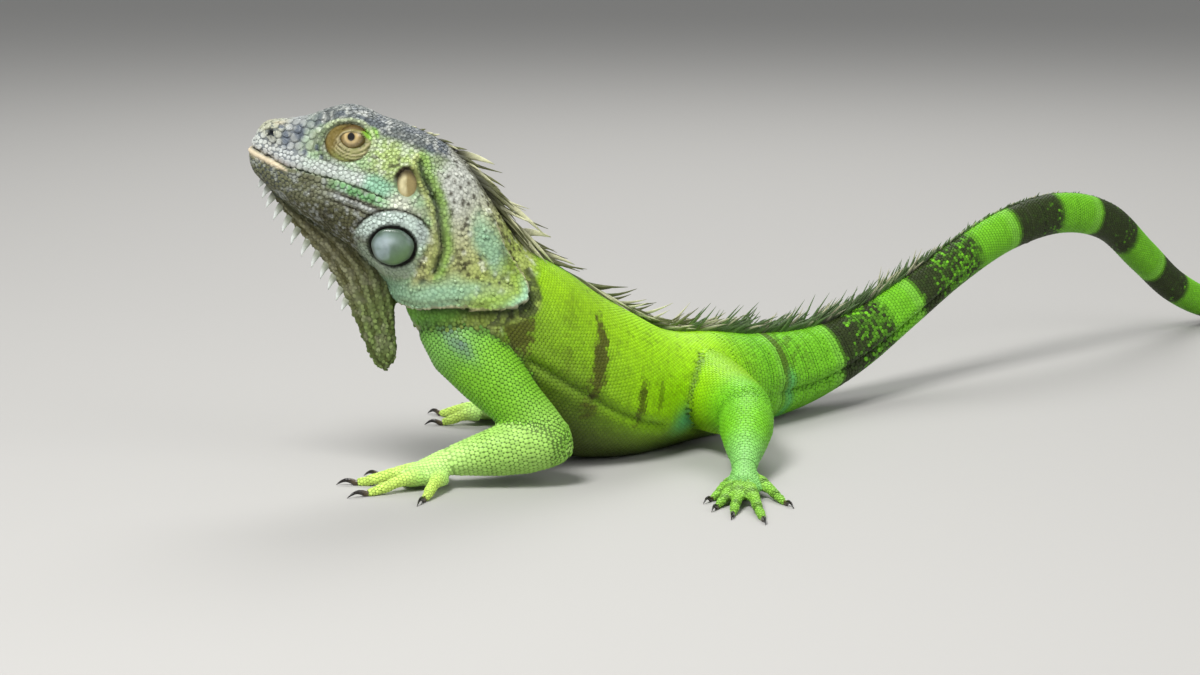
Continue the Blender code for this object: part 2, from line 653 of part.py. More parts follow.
def make_face(nodes, where, cutters):
    """Eyes, eardrums and cheek shields in their pockets, and the nostrils."""
    made = []
    for side_name, side in (("left", 1.0), ("right", -1.0)):
        eye_at = head_point(*EYE, side * (head_surface(*EYE) - EYE_SINK))
        ear_at = head_point(*EAR, side * (head_surface(*EAR) - 1.6))
        shield_at = head_point(*SHIELD, side * (head_surface(*SHIELD) - 0.6))
        parts = [
            ("eye", eye_at, (EYE_RADIUS,) * 3, "eye", ["head"], 10, 7),
            ("ear", ear_at, (EAR_RADII[0], EAR_RADII[1], 1.8), "ear", ["head", "neck"], 8, 5),
            ("shield", shield_at, (SHIELD_RADIUS, SHIELD_RADIUS, 2.6), "shield",
             ["head", "neck"], 12, 6),
        ]
        for name, centre, radii, kind, hosts, segments, rings in parts:
            place = {"eye": EYE, "ear": EAR, "shield": SHIELD}[name]
            out_way = head_normal(*place, side)
            if kind == "shield":
                out_way = out_way + np.array([0.0, -2.0 * side, 0.0])
                out_way = out_way / np.linalg.norm(out_way)
            back_way = HEAD_BACK - out_way * np.dot(HEAD_BACK, out_way)
            back_way = back_way / np.linalg.norm(back_way)
            axes = (back_way, np.cross(out_way, back_way), out_way)
            pocket = ellipsoid("pocket", centre, axes, [r + GAP for r in radii], cutters,
                               segments, rings)
            for host in hosts:
                combine(nodes[host], pocket, "DIFFERENCE")
            discard(pocket)
            piece = ellipsoid(f"{name}_{side_name}", centre, axes, radii, where, segments, rings)
            finish(piece, kind)
            made.append(piece)
        nostril_at = head_point(*NOSTRIL, side * (head_surface(*NOSTRIL) + 0.2))
        hole = ellipsoid("nostril", nostril_at, np.eye(3), (1.4, 1.4, 1.2), cutters, 8, 5)
        combine(nodes["head"], hole, "DIFFERENCE")
        discard(hole)
    return made


def make_limb(limb, trunk, dewlap, floor, where, cutters):
    """Two bones' worth of limb and a hand or foot, each short of the one before."""
    shoulder, elbow, wrist = limb["joints"]
    first, second = limb["profiles"]
    names = [f"{name}_{limb['side']}" for name in limb["names"]]
    upper = limb_segment(names[0], shoulder, elbow, first, where)
    lower = limb_segment(names[1], elbow, wrist, second, where)
    end, claws = make_extremity(limb, limb["foot"], wrist, where, cutters)
    upper_room = limb_segment("room", shoulder, elbow, first, cutters, grow=GAP)
    lower_room = limb_segment("room", elbow, wrist, second, cutters, grow=GAP)
    for piece in (upper, lower, end):
        combine(piece, trunk, "DIFFERENCE")
    combine(lower, upper_room, "DIFFERENCE")
    combine(end, upper_room, "DIFFERENCE")
    combine(end, lower_room, "DIFFERENCE")
    combine(dewlap, upper_room, "DIFFERENCE")
    for piece in (upper, lower, end):
        combine(piece, floor, "DIFFERENCE")
        finish(piece, "limb")
    for claw in claws:
        combine(claw, floor, "DIFFERENCE")
        finish(claw, "claw")
    discard(upper_room)
    discard(lower_room)


def main():
    for obj in list(bpy.data.objects):
        bpy.data.objects.remove(obj)
    where = collection("iguana")
    cutters = collection("cutters")
    floor = box("floor_cut", (-400.0, -400.0, -60.0), (700.0, 700.0, 0.0), cutters)
    nodes = make_body(where, cutters)
    nodes["jaw"] = make_jaw(nodes["head"], where, cutters)
    make_face(nodes, where, cutters)
    throat = body_room("throat_room", NODE_CUTS[:3], cutters)
    trunk = body_room("trunk_room", NODE_CUTS[1:5], cutters)
    nodes["dewlap"] = make_dewlap(where, cutters)
    combine(nodes["dewlap"], throat, "DIFFERENCE")
    for limb in LIMBS.values():
        make_limb(limb, trunk, nodes["dewlap"], floor, where, cutters)
    for name, node in nodes.items():
        combine(node, floor, "DIFFERENCE")
        finish(node, "tail" if name.startswith("tail") else name)
    for cutter in (floor, throat, trunk):
        cutter.hide_render = True
        cutter.display_type = "WIRE"


main()
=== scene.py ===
"""A life-size museum model of a green iguana, resting on a pale floor.

Tables are in millimetres, in the frame's own axes: +X runs from the head to
the tail, +Y is the animal's right-hand side and +Z is up.
"""
import math

import bmesh
import bpy
import numpy as np
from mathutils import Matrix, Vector
from mathutils.bvhtree import BVHTree
from mathutils.kdtree import KDTree


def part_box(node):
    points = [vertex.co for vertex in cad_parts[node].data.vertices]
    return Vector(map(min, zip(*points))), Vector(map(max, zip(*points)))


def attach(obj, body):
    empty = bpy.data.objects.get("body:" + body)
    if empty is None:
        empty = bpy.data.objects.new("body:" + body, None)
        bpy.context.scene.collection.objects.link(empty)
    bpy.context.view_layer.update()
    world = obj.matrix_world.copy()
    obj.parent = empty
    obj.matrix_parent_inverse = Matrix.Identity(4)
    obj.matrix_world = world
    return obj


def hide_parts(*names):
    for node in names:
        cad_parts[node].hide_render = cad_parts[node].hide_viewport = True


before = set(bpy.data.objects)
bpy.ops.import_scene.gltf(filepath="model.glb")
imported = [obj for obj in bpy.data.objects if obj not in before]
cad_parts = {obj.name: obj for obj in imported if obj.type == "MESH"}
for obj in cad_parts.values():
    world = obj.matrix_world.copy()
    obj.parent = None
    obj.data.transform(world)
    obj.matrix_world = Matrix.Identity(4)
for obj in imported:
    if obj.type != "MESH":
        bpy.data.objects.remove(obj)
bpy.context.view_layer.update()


# ============================== floor, light and camera ======================
# A pale floor the animal rests on, under a large soft lamp in front and above,
# a weaker one from the tail side and a thin one from behind for the outline.
def placed(name, data):
    """A new object at the scene's origin."""
    made = bpy.data.objects.new(name, data)
    bpy.context.scene.collection.objects.link(made)
    return made


for name, place, aim, size, power in (
        ("key_lamp", (-0.45, -0.75, 1.3), (0.0, 0.0, 0.06), 0.55, 26.0),
        ("fill_lamp", (1.1, -1.0, 0.9), (0.05, 0.0, 0.06), 1.0, 7.0),
        ("outline_lamp", (0.1, 1.1, 1.2), (0.0, 0.0, 0.08), 0.8, 12.0)):
    light = bpy.data.lights.new(name, "AREA")
    light.shape, light.size, light.energy = "SQUARE", size, power
    lamp = placed(name, light)
    lamp.location = place
    lamp.rotation_euler = (Vector(aim) - Vector(place)).to_track_quat("-Z", "Y").to_euler()

world = bpy.data.worlds.new("studio")
world.use_nodes = True
sky = world.node_tree.nodes["Background"].inputs
sky["Color"].default_value, sky["Strength"].default_value = (0.82, 0.84, 0.86, 1.0), 0.42
bpy.context.scene.world = world
bpy.context.scene.view_settings.view_transform = "Standard"


def mesh_of(work, name):
    """The mesh of an edit mesh, which is then let go."""
    mesh = bpy.data.meshes.new(name)
    work.to_mesh(mesh)
    work.free()
    return mesh


def shader_of(material):
    """The Principled shader of a material."""
    return material.node_tree.nodes["Principled BSDF"]


work = bmesh.new()
bmesh.ops.create_grid(work, x_segments=2, y_segments=2, size=4.0)
floor = placed("floor", mesh_of(work, "floor"))
floor_paint = bpy.data.materials.new("floor_paint")
floor_paint.use_nodes = True
shader_of(floor_paint).inputs["Base Color"].default_value = (0.42, 0.41, 0.39, 1.0)
shader_of(floor_paint).inputs["Roughness"].default_value = 0.8
floor.data.materials.append(floor_paint)

lens = bpy.data.cameras.new("camera")
lens.lens, lens.sensor_width = 100.0, 36.0
camera = placed("camera", lens)
camera.location = (-0.0084, -1.3706, 0.2892)
camera.rotation_euler = (math.radians(80.0), 0.0, 0.0)
bpy.context.scene.camera = camera


# ============================== skin: the body's shape =======================
# The bare hide of the whole animal, from the lips to the tip of the tail.  It
# is lofted along one curved line with the limbs and the throat flap run into
# it, melted into a single surface, and then given its folds, lids and mouth.
MM, TURN = 0.001, 2.0 * math.pi
COAT = 0.55                   # how far the hide lies under the scales
SNOUT = np.array([-147.0, -54.0, 133.5])
PITCH = math.radians(22.0)
SLOPE, FALL = math.cos(PITCH), math.sin(PITCH)
HEAD_BACK, HEAD_UP = np.array([SLOPE, 0.0, -FALL]), np.array([FALL, 0.0, SLOPE])
# distance behind the snout's tip, half width, height over it and depth under it
HEAD_ROWS = np.array([
    (0.0, 4.6, 9.0, 2.4), (1.3, 7.0, 12.0, 5.0), (4.0, 8.8, 14.2, 8.4), (9.0, 10.2, 16.8, 11.0),
    (16.0, 11.8, 20.8, 13.6), (23.0, 13.6, 26.8, 15.8), (29.0, 15.2, 31.0, 17.4),
    (36.0, 16.6, 32.4, 18.8), (44.0, 17.8, 31.8, 20.4), (52.0, 19.0, 32.5, 22.4)])
# centre, half width, height above and depth below it, from nape to tail tip
BODY_ROWS = [
    (-86.0, -53.8, 108.4, 20.0, 31.5, 25.0), (-73.5, -51.5, 94.5, 19.4, 28.5, 25.0),
    (-58.0, -45.0, 73.0, 21.0, 28.5, 28.5), (-36.0, -33.0, 53.0, 25.0, 31.0, 31.5),
    (-13.0, -15.0, 35.5, 28.5, 31.0, 35.4), (12.0, 11.0, 26.0, 27.5, 24.5, 28.4),
    (35.0, 35.0, 22.5, 22.5, 22.0, 23.2), (58.0, 59.0, 20.2, 18.0, 19.5, 20.4),
    (80.0, 82.0, 20.5, 15.2, 17.2, 17.2), (104.0, 108.0, 26.5, 12.4, 14.6, 14.2),
    (130.0, 137.0, 39.0, 10.2, 12.2, 11.8), (156.0, 164.0, 53.5, 9.0, 11.0, 10.6),
    (183.0, 191.0, 65.5, 8.6, 10.6, 10.4), (213.0, 221.0, 69.5, 8.2, 10.1, 10.0),
    (240.0, 248.0, 61.5, 7.8, 9.6, 9.5), (262.0, 271.0, 41.0, 7.4, 9.0, 8.9),
    (283.0, 293.0, 21.5, 7.0, 8.4, 8.3), (308.0, 315.0, 9.0, 6.5, 7.6, 7.6),
    (344.0, 333.0, 6.6, 5.7, 6.5, 6.8), (384.0, 331.0, 5.5, 4.8, 5.4, 5.7),
    (416.0, 305.0, 4.4, 3.9, 4.4, 4.6), (431.0, 266.0, 3.3, 2.9, 3.3, 3.5),
    (427.0, 226.0, 2.2, 1.9, 2.2, 2.4), (409.0, 194.0, 1.1, 0.8, 0.9, 1.2)]
LAST = len(HEAD_ROWS) + len(BODY_ROWS) - 1
# row numbers: where the head's plates end, the face, the neck and the chest, where scales
# start to stand in rings, where the trunk ends, and where the thin tail is lofted on its own
HEAD_END, FACE_END, NECK_END, CHEST_END, RINGS_START, TRUNK_END, MELT_END = (
    9.97, 11.6, 12.35, 14.0, 16.0, 16.9, 22.5)
# soft swellings of the head: distance, height, spread along and up, push outward
HEAD_RELIEF = [
    (31.0, 27.5, 8.0, 2.8, 2.3), (24.0, 20.5, 4.5, 4.0, -1.2), (48.0, 22.0, 6.5, 5.0, -1.6),
    (36.5, 20.0, 6.0, 5.0, -0.8), (66.0, -11.5, 10.0, 9.0, 2.4), (6.3, 11.2, 3.0, 3.0, 0.9),
    (17.0, 13.0, 7.0, 5.0, -1.1), (30.0, 5.0, 20.0, 2.2, 0.8), (52.0, 12.0, 8.0, 4.0, 0.6)]


def unit(vectors):
    """Vectors of length one."""
    return vectors / np.maximum(np.linalg.norm(vectors, axis=-1, keepdims=True), 1e-9)


def soft(low, high, value):
    """0 below low and 1 above high, with soft ends."""
    share = np.clip((value - low) / (high - low), 0.0, 1.0)
    return share * share * (3.0 - 2.0 * share)


def hump(middle, spread, value):
    """1 at the middle, falling off softly on both sides."""
    return np.exp(-((value - middle) / spread) ** 2)


def walked(path):
    """How far along a bent line each of its corners lies."""
    return np.concatenate([[0.0], np.cumsum(np.linalg.norm(np.diff(path, axis=0), axis=1))])


rows = np.array([[*(SNOUT + a * HEAD_BACK), *sizes] for a, *sizes in HEAD_ROWS]
                + [list(row) for row in BODY_ROWS])
ROWS = np.array([2 * rows[0] - rows[1], *rows, 2 * rows[-1] - rows[-2]])


def row_at(number):
    """Centre and sizes of the body at a row number, smooth between the rows."""
    number = min(max(number, 0.0), float(LAST))
    i = min(int(number), LAST - 1)
    t = number - i
    before, here, there, after = ROWS[i:i + 4]
    span = np.linalg.norm((there - here)[:3])
    leave = (there - before) * span / (span + np.linalg.norm((here - before)[:3]))
    arrive = (after - here) * span / (span + np.linalg.norm((after - there)[:3]))
    return ((2 * t**3 - 3 * t**2 + 1) * here + (t**3 - 2 * t**2 + t) * leave
            + (3 * t**2 - 2 * t**3) * there + (t**3 - t**2) * arrive)


LINE_NUMBERS = np.linspace(0.0, LAST, LAST * 40 + 1)
middle_line = np.array([row_at(n) for n in LINE_NUMBERS])
tailward = unit(np.array([(row_at(n + 0.9) - row_at(n - 0.9))[:3] for n in LINE_NUMBERS]))
upward = unit(np.array([0.0, 0.0, 1.0]) - tailward * tailward[:, 2:3])
LINE = np.hstack([middle_line[:, :3], tailward, np.cross(upward, tailward), upward,
                  middle_line[:, 3:]])
LINE_LENGTH = walked(middle_line[:, :3])


def length_at(number):
    """How far along the body's line a row number lies."""
    return np.interp(number, LINE_NUMBERS, LINE_LENGTH)


def number_at(length):
    """The row number so far along the body's line."""
    return np.interp(length, LINE_LENGTH, LINE_NUMBERS)


def line_at(number):
    """Centre, tail-ward, right-ward and upward axes, and sizes at row numbers."""
    return np.stack([np.interp(number, LINE_NUMBERS, column) for column in LINE.T], axis=-1)


def body_points(number, angle, grow=0.0):
    """Places on the body's outline; the angle counts from the right flank over the back."""
    number, angle = np.broadcast_arrays(number, angle)
    value = line_at(number)
    cos, sin = np.cos(angle), np.sin(angle)
    wide, over, under = value[..., 12], value[..., 13], value[..., 14]
    grow = np.where(number > 20.0, grow * np.clip(wide / 8.0, 0.25, 1.0), grow)
    neck = soft(8.0, 11.5, number)
    power = np.where(sin > 0.0, 2.0 / (3.0 - 1.15 * neck), 2.0 / (2.2 + 0.1 * neck))
    out = np.abs(cos) ** power * (wide + grow)
    height = np.sign(sin) * np.abs(sin) ** power * (np.where(sin > 0.0, over, under) + grow)
    behind = (value[..., :3] - SNOUT) @ HEAD_BACK
    push = sum(p * hump(a, sa, behind) * hump(b, sb, height) for a, b, sa, sb, p in HEAD_RELIEF)
    out = out + push * np.minimum(1.0, 2.0 * np.abs(cos)) * (1.0 - soft(10.0, 11.5, number))
    return (value[..., :3] + value[..., 6:9] * (np.sign(cos) * out)[..., None]
            + value[..., 9:12] * height[..., None])


def between(table, row, column):
    """Values between the corners of a grid."""
    i, j = row.astype(int), column.astype(int)
    deeper = row.shape + (1,) * (table.ndim - 2)
    u, v = (row - i).reshape(deeper), (column - j).reshape(deeper)
    return ((table[i, j] * (1 - v) + table[i, j + 1] * v) * (1 - u)
            + (table[i + 1, j] * (1 - v) + table[i + 1, j + 1] * v) * u)


# shares of the way round, from the back's middle line down the left side, to angles
SHARE_NUMBERS = np.linspace(0.0, LAST, LAST * 4 + 1)
fine_angles = math.pi / 2 + np.linspace(0.0, TURN, 181)
ways_round = [walked(line) for line in body_points(SHARE_NUMBERS[:, None], fine_angles[None, :])]
GIRTH = np.array([way[-1] for way in ways_round])
ANGLE_TABLE = np.array([np.interp(np.linspace(0.0, way[-1], 97), way, fine_angles)
                        for way in ways_round])


def angle_at(number, share):
    """The angle of a share of the way round the body."""
    number, share = np.broadcast_arrays(number, share)
    return between(ANGLE_TABLE, np.clip(number * 4.0, 0.0, len(ANGLE_TABLE) - 1.001),
                   np.clip((share % 1.0) * 96.0, 0.0, 95.999))


def side_degrees(number, share):
    """The angle in degrees as on the left side, from 90 on the back to 270 below."""
    return np.degrees(angle_at(number, np.minimum(share, 1.0 - share)))


# every length of hide: its grid of places and what they are called
parts = []
BODY, DEWLAP, ARM_LEFT, ARM_RIGHT, LEG_LEFT, LEG_RIGHT = range(6)


def closed(rings):
    """Rings with their first place again at the end."""
    return np.concatenate([rings, rings[:, :1]], axis=1)


def add_part(region, rings, numbers, melted=True):
    """Keep a grid of places, with its region, its row numbers and shares round."""
    parts.append(dict(region=region, rings=rings, numbers=numbers, melted=melted,
                      shares=np.arange(rings.shape[1]) / rings.shape[1], length=walked(rings.mean(1)),
                      girth=np.linalg.norm(np.diff(closed(rings), axis=1), axis=2).sum(1)))


def tube(rings):
    """A closed tube: a grid laid through rows of places, its seam and ends closed."""
    work = bmesh.new()
    bmesh.ops.create_grid(work, x_segments=rings.shape[1], y_segments=rings.shape[0] - 1, size=1.0)
    for vert, place in zip(work.verts, closed(rings).reshape(-1, 3) * MM):
        vert.co = place
    bmesh.ops.remove_doubles(work, verts=work.verts, dist=1e-6)
    bmesh.ops.holes_fill(work, edges=work.edges)
    bmesh.ops.recalc_face_normals(work, faces=work.faces)
    if work.calc_volume(signed=True) < 0.0:
        bmesh.ops.reverse_faces(work, faces=work.faces)
    return work


# two lengths of the body, the trunk and the thin tail
for start, stop, step, sides, melted in ((0.0, MELT_END, 1.3, 64, True),
                                         (MELT_END - 0.25, LAST, 1.8, 26, False)):
    first, last = length_at([start, stop])
    numbers = number_at(np.linspace(first, last, max(3, int((last - first) / step))))
    angles = angle_at(numbers[:, None], np.arange(sides) / sides)
    add_part(BODY, body_points(numbers[:, None], angles, -COAT), numbers, melted)

# throat flap: where it leaves the throat, its free edge, half its thickness
DEWLAP_Y = -53.5
DEWLAP_ROWS = np.array([
    (-138.0, 124.5, -142.8, 121.5, 2.6), (-130.0, 119.0, -138.5, 112.5, 2.8),
    (-119.0, 112.0, -130.0, 100.5, 3.0), (-107.0, 104.0, -120.0, 88.5, 3.2),
    (-97.0, 93.0, -112.5, 76.0, 3.4), (-91.5, 82.0, -107.5, 64.0, 3.2),
    (-90.0, 71.0, -103.0, 52.5, 3.0), (-90.0, 60.0, -99.0, 44.5, 2.6),
    (-90.0, 50.0, -94.0, 42.0, 2.2)])


def flap_at(numbers):
    """The throat flap's rows at row numbers."""
    return np.stack([np.interp(numbers, range(len(DEWLAP_ROWS)), c) for c in DEWLAP_ROWS.T], -1)


dewlap_numbers = np.linspace(0.0, len(DEWLAP_ROWS) - 1.0, 70)
flap, turn = flap_at(dewlap_numbers), TURN * np.arange(48) / 48
inner, edge = flap[:, None, :2], flap[:, None, 2:4]
across = (inner + edge) / 2 + (edge - inner) / 2 * np.cos(turn)[None, :, None]
width = (flap[:, 4:5] - COAT) * (1.0 - 0.5 * np.cos(turn)) * np.sin(turn)
add_part(DEWLAP, np.stack([across[..., 0], DEWLAP_Y + width, across[..., 1]], -1), dewlap_numbers)

# limbs: share of the bone's length, half width, half height
ARM_PROFILE = [(-0.2, 10.0, 11.0), (0.05, 13.6, 15.0), (0.35, 12.2, 14.0), (0.65, 10.6, 11.6),
               (0.9, 10.0, 10.4), (1.06, 8.4, 8.4), (1.17, 4.6, 4.6)]
FOREARM_PROFILE = [(-0.2, 5.0, 5.0), (-0.12, 8.6, 8.6), (0.02, 11.0, 11.0), (0.25, 11.8, 11.6),
                   (0.55, 10.6, 10.2), (0.85, 8.4, 7.6), (1.0, 7.4, 6.2)]
THIGH_PROFILE = [(-0.15, 12.0, 12.0), (0.1, 17.0, 17.0), (0.4, 16.5, 16.0), (0.7, 14.4, 13.8),
                 (0.95, 12.4, 12.2), (1.1, 9.6, 9.4), (1.2, 5.0, 5.0)]
SHANK_PROFILE = [(-0.16, 5.0, 5.0), (-0.08, 9.4, 9.2), (0.08, 11.6, 11.0), (0.3, 11.4, 10.8),
                 (0.6, 8.8, 8.2), (0.85, 6.2, 5.6), (1.0, 5.6, 4.8)]
# region: three joints, the way the hand or foot points, its side and what it ends in
SIDES = {"left": 1.0, "right": -1.0}
LIMBS = {
    ARM_LEFT: ([(-66, -56, 57), (-28, -69, 18), (-68, -73, 10.5)], 182.0, "left", "hand"),
    ARM_RIGHT: ([(-50, -20, 54), (-34, 20, 18), (-54, 48, 9.5)], 106.0, "right", "hand"),
    LEG_LEFT: ([(34, 18, 23.5), (52, -27, 21), (49, -74, 7.5)], 266.0, "left", "foot"),
    LEG_RIGHT: ([(38, 50, 24), (16, 86, 20), (58, 106, 7.5)], 112.0, "right", "foot")}
# the limb's two profiles, palm length and half sizes, its root's half sizes, claw
# length, and for each digit its spread, its root's distance, its length and radius
ENDS = {
    "hand": (ARM_PROFILE, FOREARM_PROFILE, (17.0, 8.8, 5.2), (7.0, 5.8), 7.8,
             [(70.0, 6.0, 14.0, 2.9), (33.0, 12.0, 21.0, 3.1), (6.0, 13.0, 25.0, 3.2),
              (-27.0, 12.0, 24.0, 3.1), (-72.0, 7.0, 19.0, 3.0)]),
    "foot": (THIGH_PROFILE, SHANK_PROFILE, (24.0, 7.4, 4.8), (5.4, 4.6), 6.2,
             [(30.0, 15.0, 14.0, 2.6), (17.0, 19.0, 22.0, 2.7), (4.0, 21.0, 31.0, 2.8),
              (-10.0, 20.0, 40.0, 2.8), (-28.0, 9.0, 26.0, 2.7)])}


def rings_round(path, way, wide, high, turn):
    """Ellipses round a path, from two axes and two half sizes at each of its places."""
    return (path[:, None] + way[0] * np.cos(turn)[None, :, None] * wide[:, None, None]
            + way[1] * np.sin(turn)[None, :, None] * high[:, None, None])


def rings_along(path, half_width, half_height, sides):
    """Ellipses along a path, each square to it."""
    ahead = unit(np.gradient(path, axis=0))
    up = unit(np.array([0.0, 0.0, 1.0]) - ahead * ahead[:, 2:3])
    return rings_round(path, (np.cross(up, ahead)[:, None], up[:, None]), half_width, half_height,
                       math.pi / 2 + TURN * np.arange(sides) / sides)


def bone_part(region, start, stop, profile, first_number, sides=40):
    """A muscled length of limb between two joints."""
    profile = np.array(profile)
    shares = np.linspace(profile[0, 0], profile[-1, 0], 44)
    wide, high = [np.interp(shares, profile[:, 0], column) - COAT for column in profile.T[1:]]
    add_part(region, rings_along(start + (stop - start) * shares[:, None], wide, high, sides),
             first_number + shares)


def heading(degrees):
    """Unit vector along the floor."""
    return np.array([math.cos(math.radians(degrees)), math.sin(math.radians(degrees)), 0.0])


# a finger's or toe's shape: shares of its length, how far it arches, how thick it is
DIGIT_STOPS = np.array([0.0, 0.28, 0.5, 0.75, 1.0])
DIGIT_LIFT = np.array([0.0, 1.8, 1.4, 0.2, -0.4])
DIGIT_SIZE = (1.0 - 0.3 * DIGIT_STOPS) * np.array([1.0, 1.1, 0.94, 0.98, 0.74])
SUNK = 4.0                    # how deep a digit's root lies in the palm
claw_roots = []
for region, (joints, aim, side_name, end) in LIMBS.items():
    first_profile, second_profile, palm_size, root_size, claw_length, digits = ENDS[end]
    palm_length, palm_wide, palm_high = palm_size
    shoulder, elbow, wrist = np.array(joints, dtype=float)
    forward, side = heading(aim), SIDES[side_name]
    bone_part(region, shoulder, elbow, first_profile, 0.0)
    bone_part(region, elbow, wrist, second_profile, 1.0)
    toe = wrist + forward * palm_length
    toe[2] = palm_high - 1.8
    palm = [(0.0, *root_size), (0.55, palm_wide * 0.9, palm_high), (0.85, palm_wide, palm_high * 0.92),
            (1.05, palm_wide * 0.8, palm_high * 0.7), (1.14, palm_wide * 0.4, palm_high * 0.35)]
    bone_part(region, wrist + forward, toe, palm, 2.0, 30)
    for count, (spread, reach, long, thick) in enumerate(digits, 1):
        way, long = heading(aim - spread * side), long + SUNK
        sideways = palm_wide * 0.62 * math.sin(math.radians(max(-90.0, min(90.0, spread * 1.5))))
        root = wrist + forward * (reach - SUNK) + heading(aim - 90.0 * side) * sideways
        root[2] = palm_high - 0.9
        level = (root[2] * (1.0 - DIGIT_STOPS) + (0.5 * thick - 0.1) * DIGIT_STOPS
                 + DIGIT_LIFT * thick / 2.6)
        shares = np.linspace(0.0, 1.0, int(long / 1.1))
        path = root + way * long * shares[:, None]
        path[:, 2] = np.interp(shares, DIGIT_STOPS, level)
        size = np.interp(shares, DIGIT_STOPS, thick * DIGIT_SIZE)
        add_part(region, rings_along(path, size, size, 18), 3.0 + shares)
        claw_roots.append((f"claw_{end}_{side_name}_{count}", path[-1], way, size[-1],
                           claw_length * (0.85 + 0.05 * min(count, 4))))


def relax(mesh, verts, times=1):
    """Even out places."""
    for _ in range(times):
        bmesh.ops.smooth_vert(mesh, verts=verts, factor=0.5, use_axis_x=True, use_axis_y=True,
                              use_axis_z=True)


# melt what overlaps into one surface, and even it out
shapes = {True: bmesh.new(), False: bmesh.new()}
spare = bpy.data.meshes.new("spare")
for part in parts:
    work = tube(part["rings"])
    work.to_mesh(spare)
    shapes[part["melted"]].from_mesh(spare)
    work.free()
lump = placed("lump", mesh_of(shapes[True], "lump"))
melt = lump.modifiers.new("melt", "REMESH")
melt.mode, melt.voxel_size = "VOXEL", 1.4 * MM
melted = bpy.data.meshes.new_from_object(lump.evaluated_get(bpy.context.evaluated_depsgraph_get()))
bpy.data.objects.remove(lump)
hide = bmesh.new()
hide.from_mesh(melted)
relax(hide, hide.verts, 3)
# the head gets a finer net, for its lids, lips and nostrils
ear_line, back = Vector(SNOUT + 78.0 * HEAD_BACK) * MM, Vector(HEAD_BACK)
fine = [e for e in hide.edges if all((v.co - ear_line).dot(back) < 0.0 and v.co.z > 0.075
                                     for v in e.verts)]
bmesh.ops.subdivide_edges(hide, edges=fine, cuts=1, use_grid_fill=True)
relax(hide, list({v for e in fine for v in e.verts}))
shapes[False].to_mesh(spare)
hide.from_mesh(spare)
hide_mesh = mesh_of(hide, "hide")


def read(mesh, what="co"):
    """The places or normals of a mesh's corners, places in millimetres."""
    values = np.empty(len(mesh.vertices) * 3)
    if what == "co":
        mesh.vertices.foreach_get("co", values)
        return values.reshape(-1, 3) / MM
    mesh.vertex_normals.foreach_get("vector", values)
    return values.reshape(-1, 3)


def tree_of(places):
    """A search tree over places."""
    tree = KDTree(len(places))
    for i, place in enumerate(places):
        tree.insert(place, i)
    tree.balance()
    return tree


# which length of hide each corner belongs to, how far along and how far round
net = {key: [] for key in ("place", "region", "number", "share", "along", "round")}
for part in parts:
    rings, numbers, shares = part["rings"], part["numbers"], part["shares"]
    step = np.gradient(rings, axis=0) / np.gradient(numbers)[:, None, None]
    circle = (np.roll(rings, -1, axis=1) - np.roll(rings, 1, axis=1)) / (2.0 * shares[1])
    for key, value in (("place", rings), ("along", step), ("round", circle)):
        net[key].append(value.reshape(-1, 3))
    for key, value in (("region", part["region"]), ("number", numbers[:, None]), ("share", shares)):
        net[key].append(np.broadcast_to(value, rings.shape[:2]).reshape(-1).astype(float))
net = {key: np.concatenate(value) for key, value in net.items()}
finder = tree_of(net["place"])


def known(places):
    """Region, row number, share round and lie of the hide at some places."""
    near = np.array([finder.find(place)[1] for place in places])
    away = places - net["place"][near]
    along, circle = net["along"][near], net["round"][near]
    number = net["number"][near] + np.clip((away * along).sum(1) / (along**2).sum(1), -0.2, 0.2)
    share = net["share"][near] + np.clip((away * circle).sum(1) / (circle**2).sum(1), -0.03, 0.03)
    return net["region"][near].astype(int), number, share % 1.0, unit(along)


hide_places = read(hide_mesh)
hide_normals = read(hide_mesh, "normal")
hide_region, hide_number, hide_share, hide_lie = known(hide_places)

# lids, lips and pits in the head's axes, distance and height: the middle and
# half sizes of each oval, and the line where the lips meet
EYE, EYE_OPENING = (37.1, 19.6), (5.5, 3.15)
NOSTRIL = ((5.7, 9.4), (1.2, 1.75))
EAR = ((62.8, 12.4), (4.4, 5.6))
SHIELD = ((66.6, -12.9), (8.4, 7.6))
SHEATH = ((35.1, 18.2), (9.0, 7.3))
LIPS = np.array([(0.0, 1.4), (9.7, 1.0), (17.2, 0.4), (25.5, 1.5), (37.6, 3.4), (46.8, 3.8),
                 (61.0, 4.1)])
JAW_CREASES = (-5.2, -8.6)    # heights of two creases along the jaw, under the lips
# folds of the left side, as row numbers and degrees round the body
SHOULDER_FOLD = [(11.25, 262), (11.4, 240), (11.6, 208), (11.9, 192), (12.1, 182), (12.2, 175),
                 (12.3, 162), (12.2, 152), (12.05, 146), (11.8, 142), (11.5, 138), (11.2, 130)]
JAW_FOLD = [(9.6, 142), (9.75, 150), (10.3, 162), (10.9, 182), (11.1, 200)]
FLANK_FOLD = [(12.75, 200), (13.1, 199), (13.5, 199), (13.9, 200), (14.3, 203), (14.6, 206)]
FURROW = 0.29                 # share of the way round where the tail's furrow runs


def head_axes(places):
    """Distance behind the snout's tip and height over it, along the head's own axes."""
    away = places - SNOUT
    return away @ HEAD_BACK, away @ HEAD_UP


def lips_at(behind):
    """Height of the line where the lips meet."""
    return np.interp(behind, LIPS[:, 0], LIPS[:, 1])


def crown_at(behind, nape):
    """Height of the crown at a distance, running on to the nape's height."""
    return np.interp(behind, [*HEAD_ROWS[:, 0], 80.0], [*HEAD_ROWS[:, 2], nape])


def upright_axes(places, middle):
    """Distances from a middle on the side of the head, level and upright."""
    behind, above = head_axes(places)
    behind, above = behind - middle[0], above - middle[1]
    return behind * SLOPE + above * FALL, above * SLOPE - behind * FALL


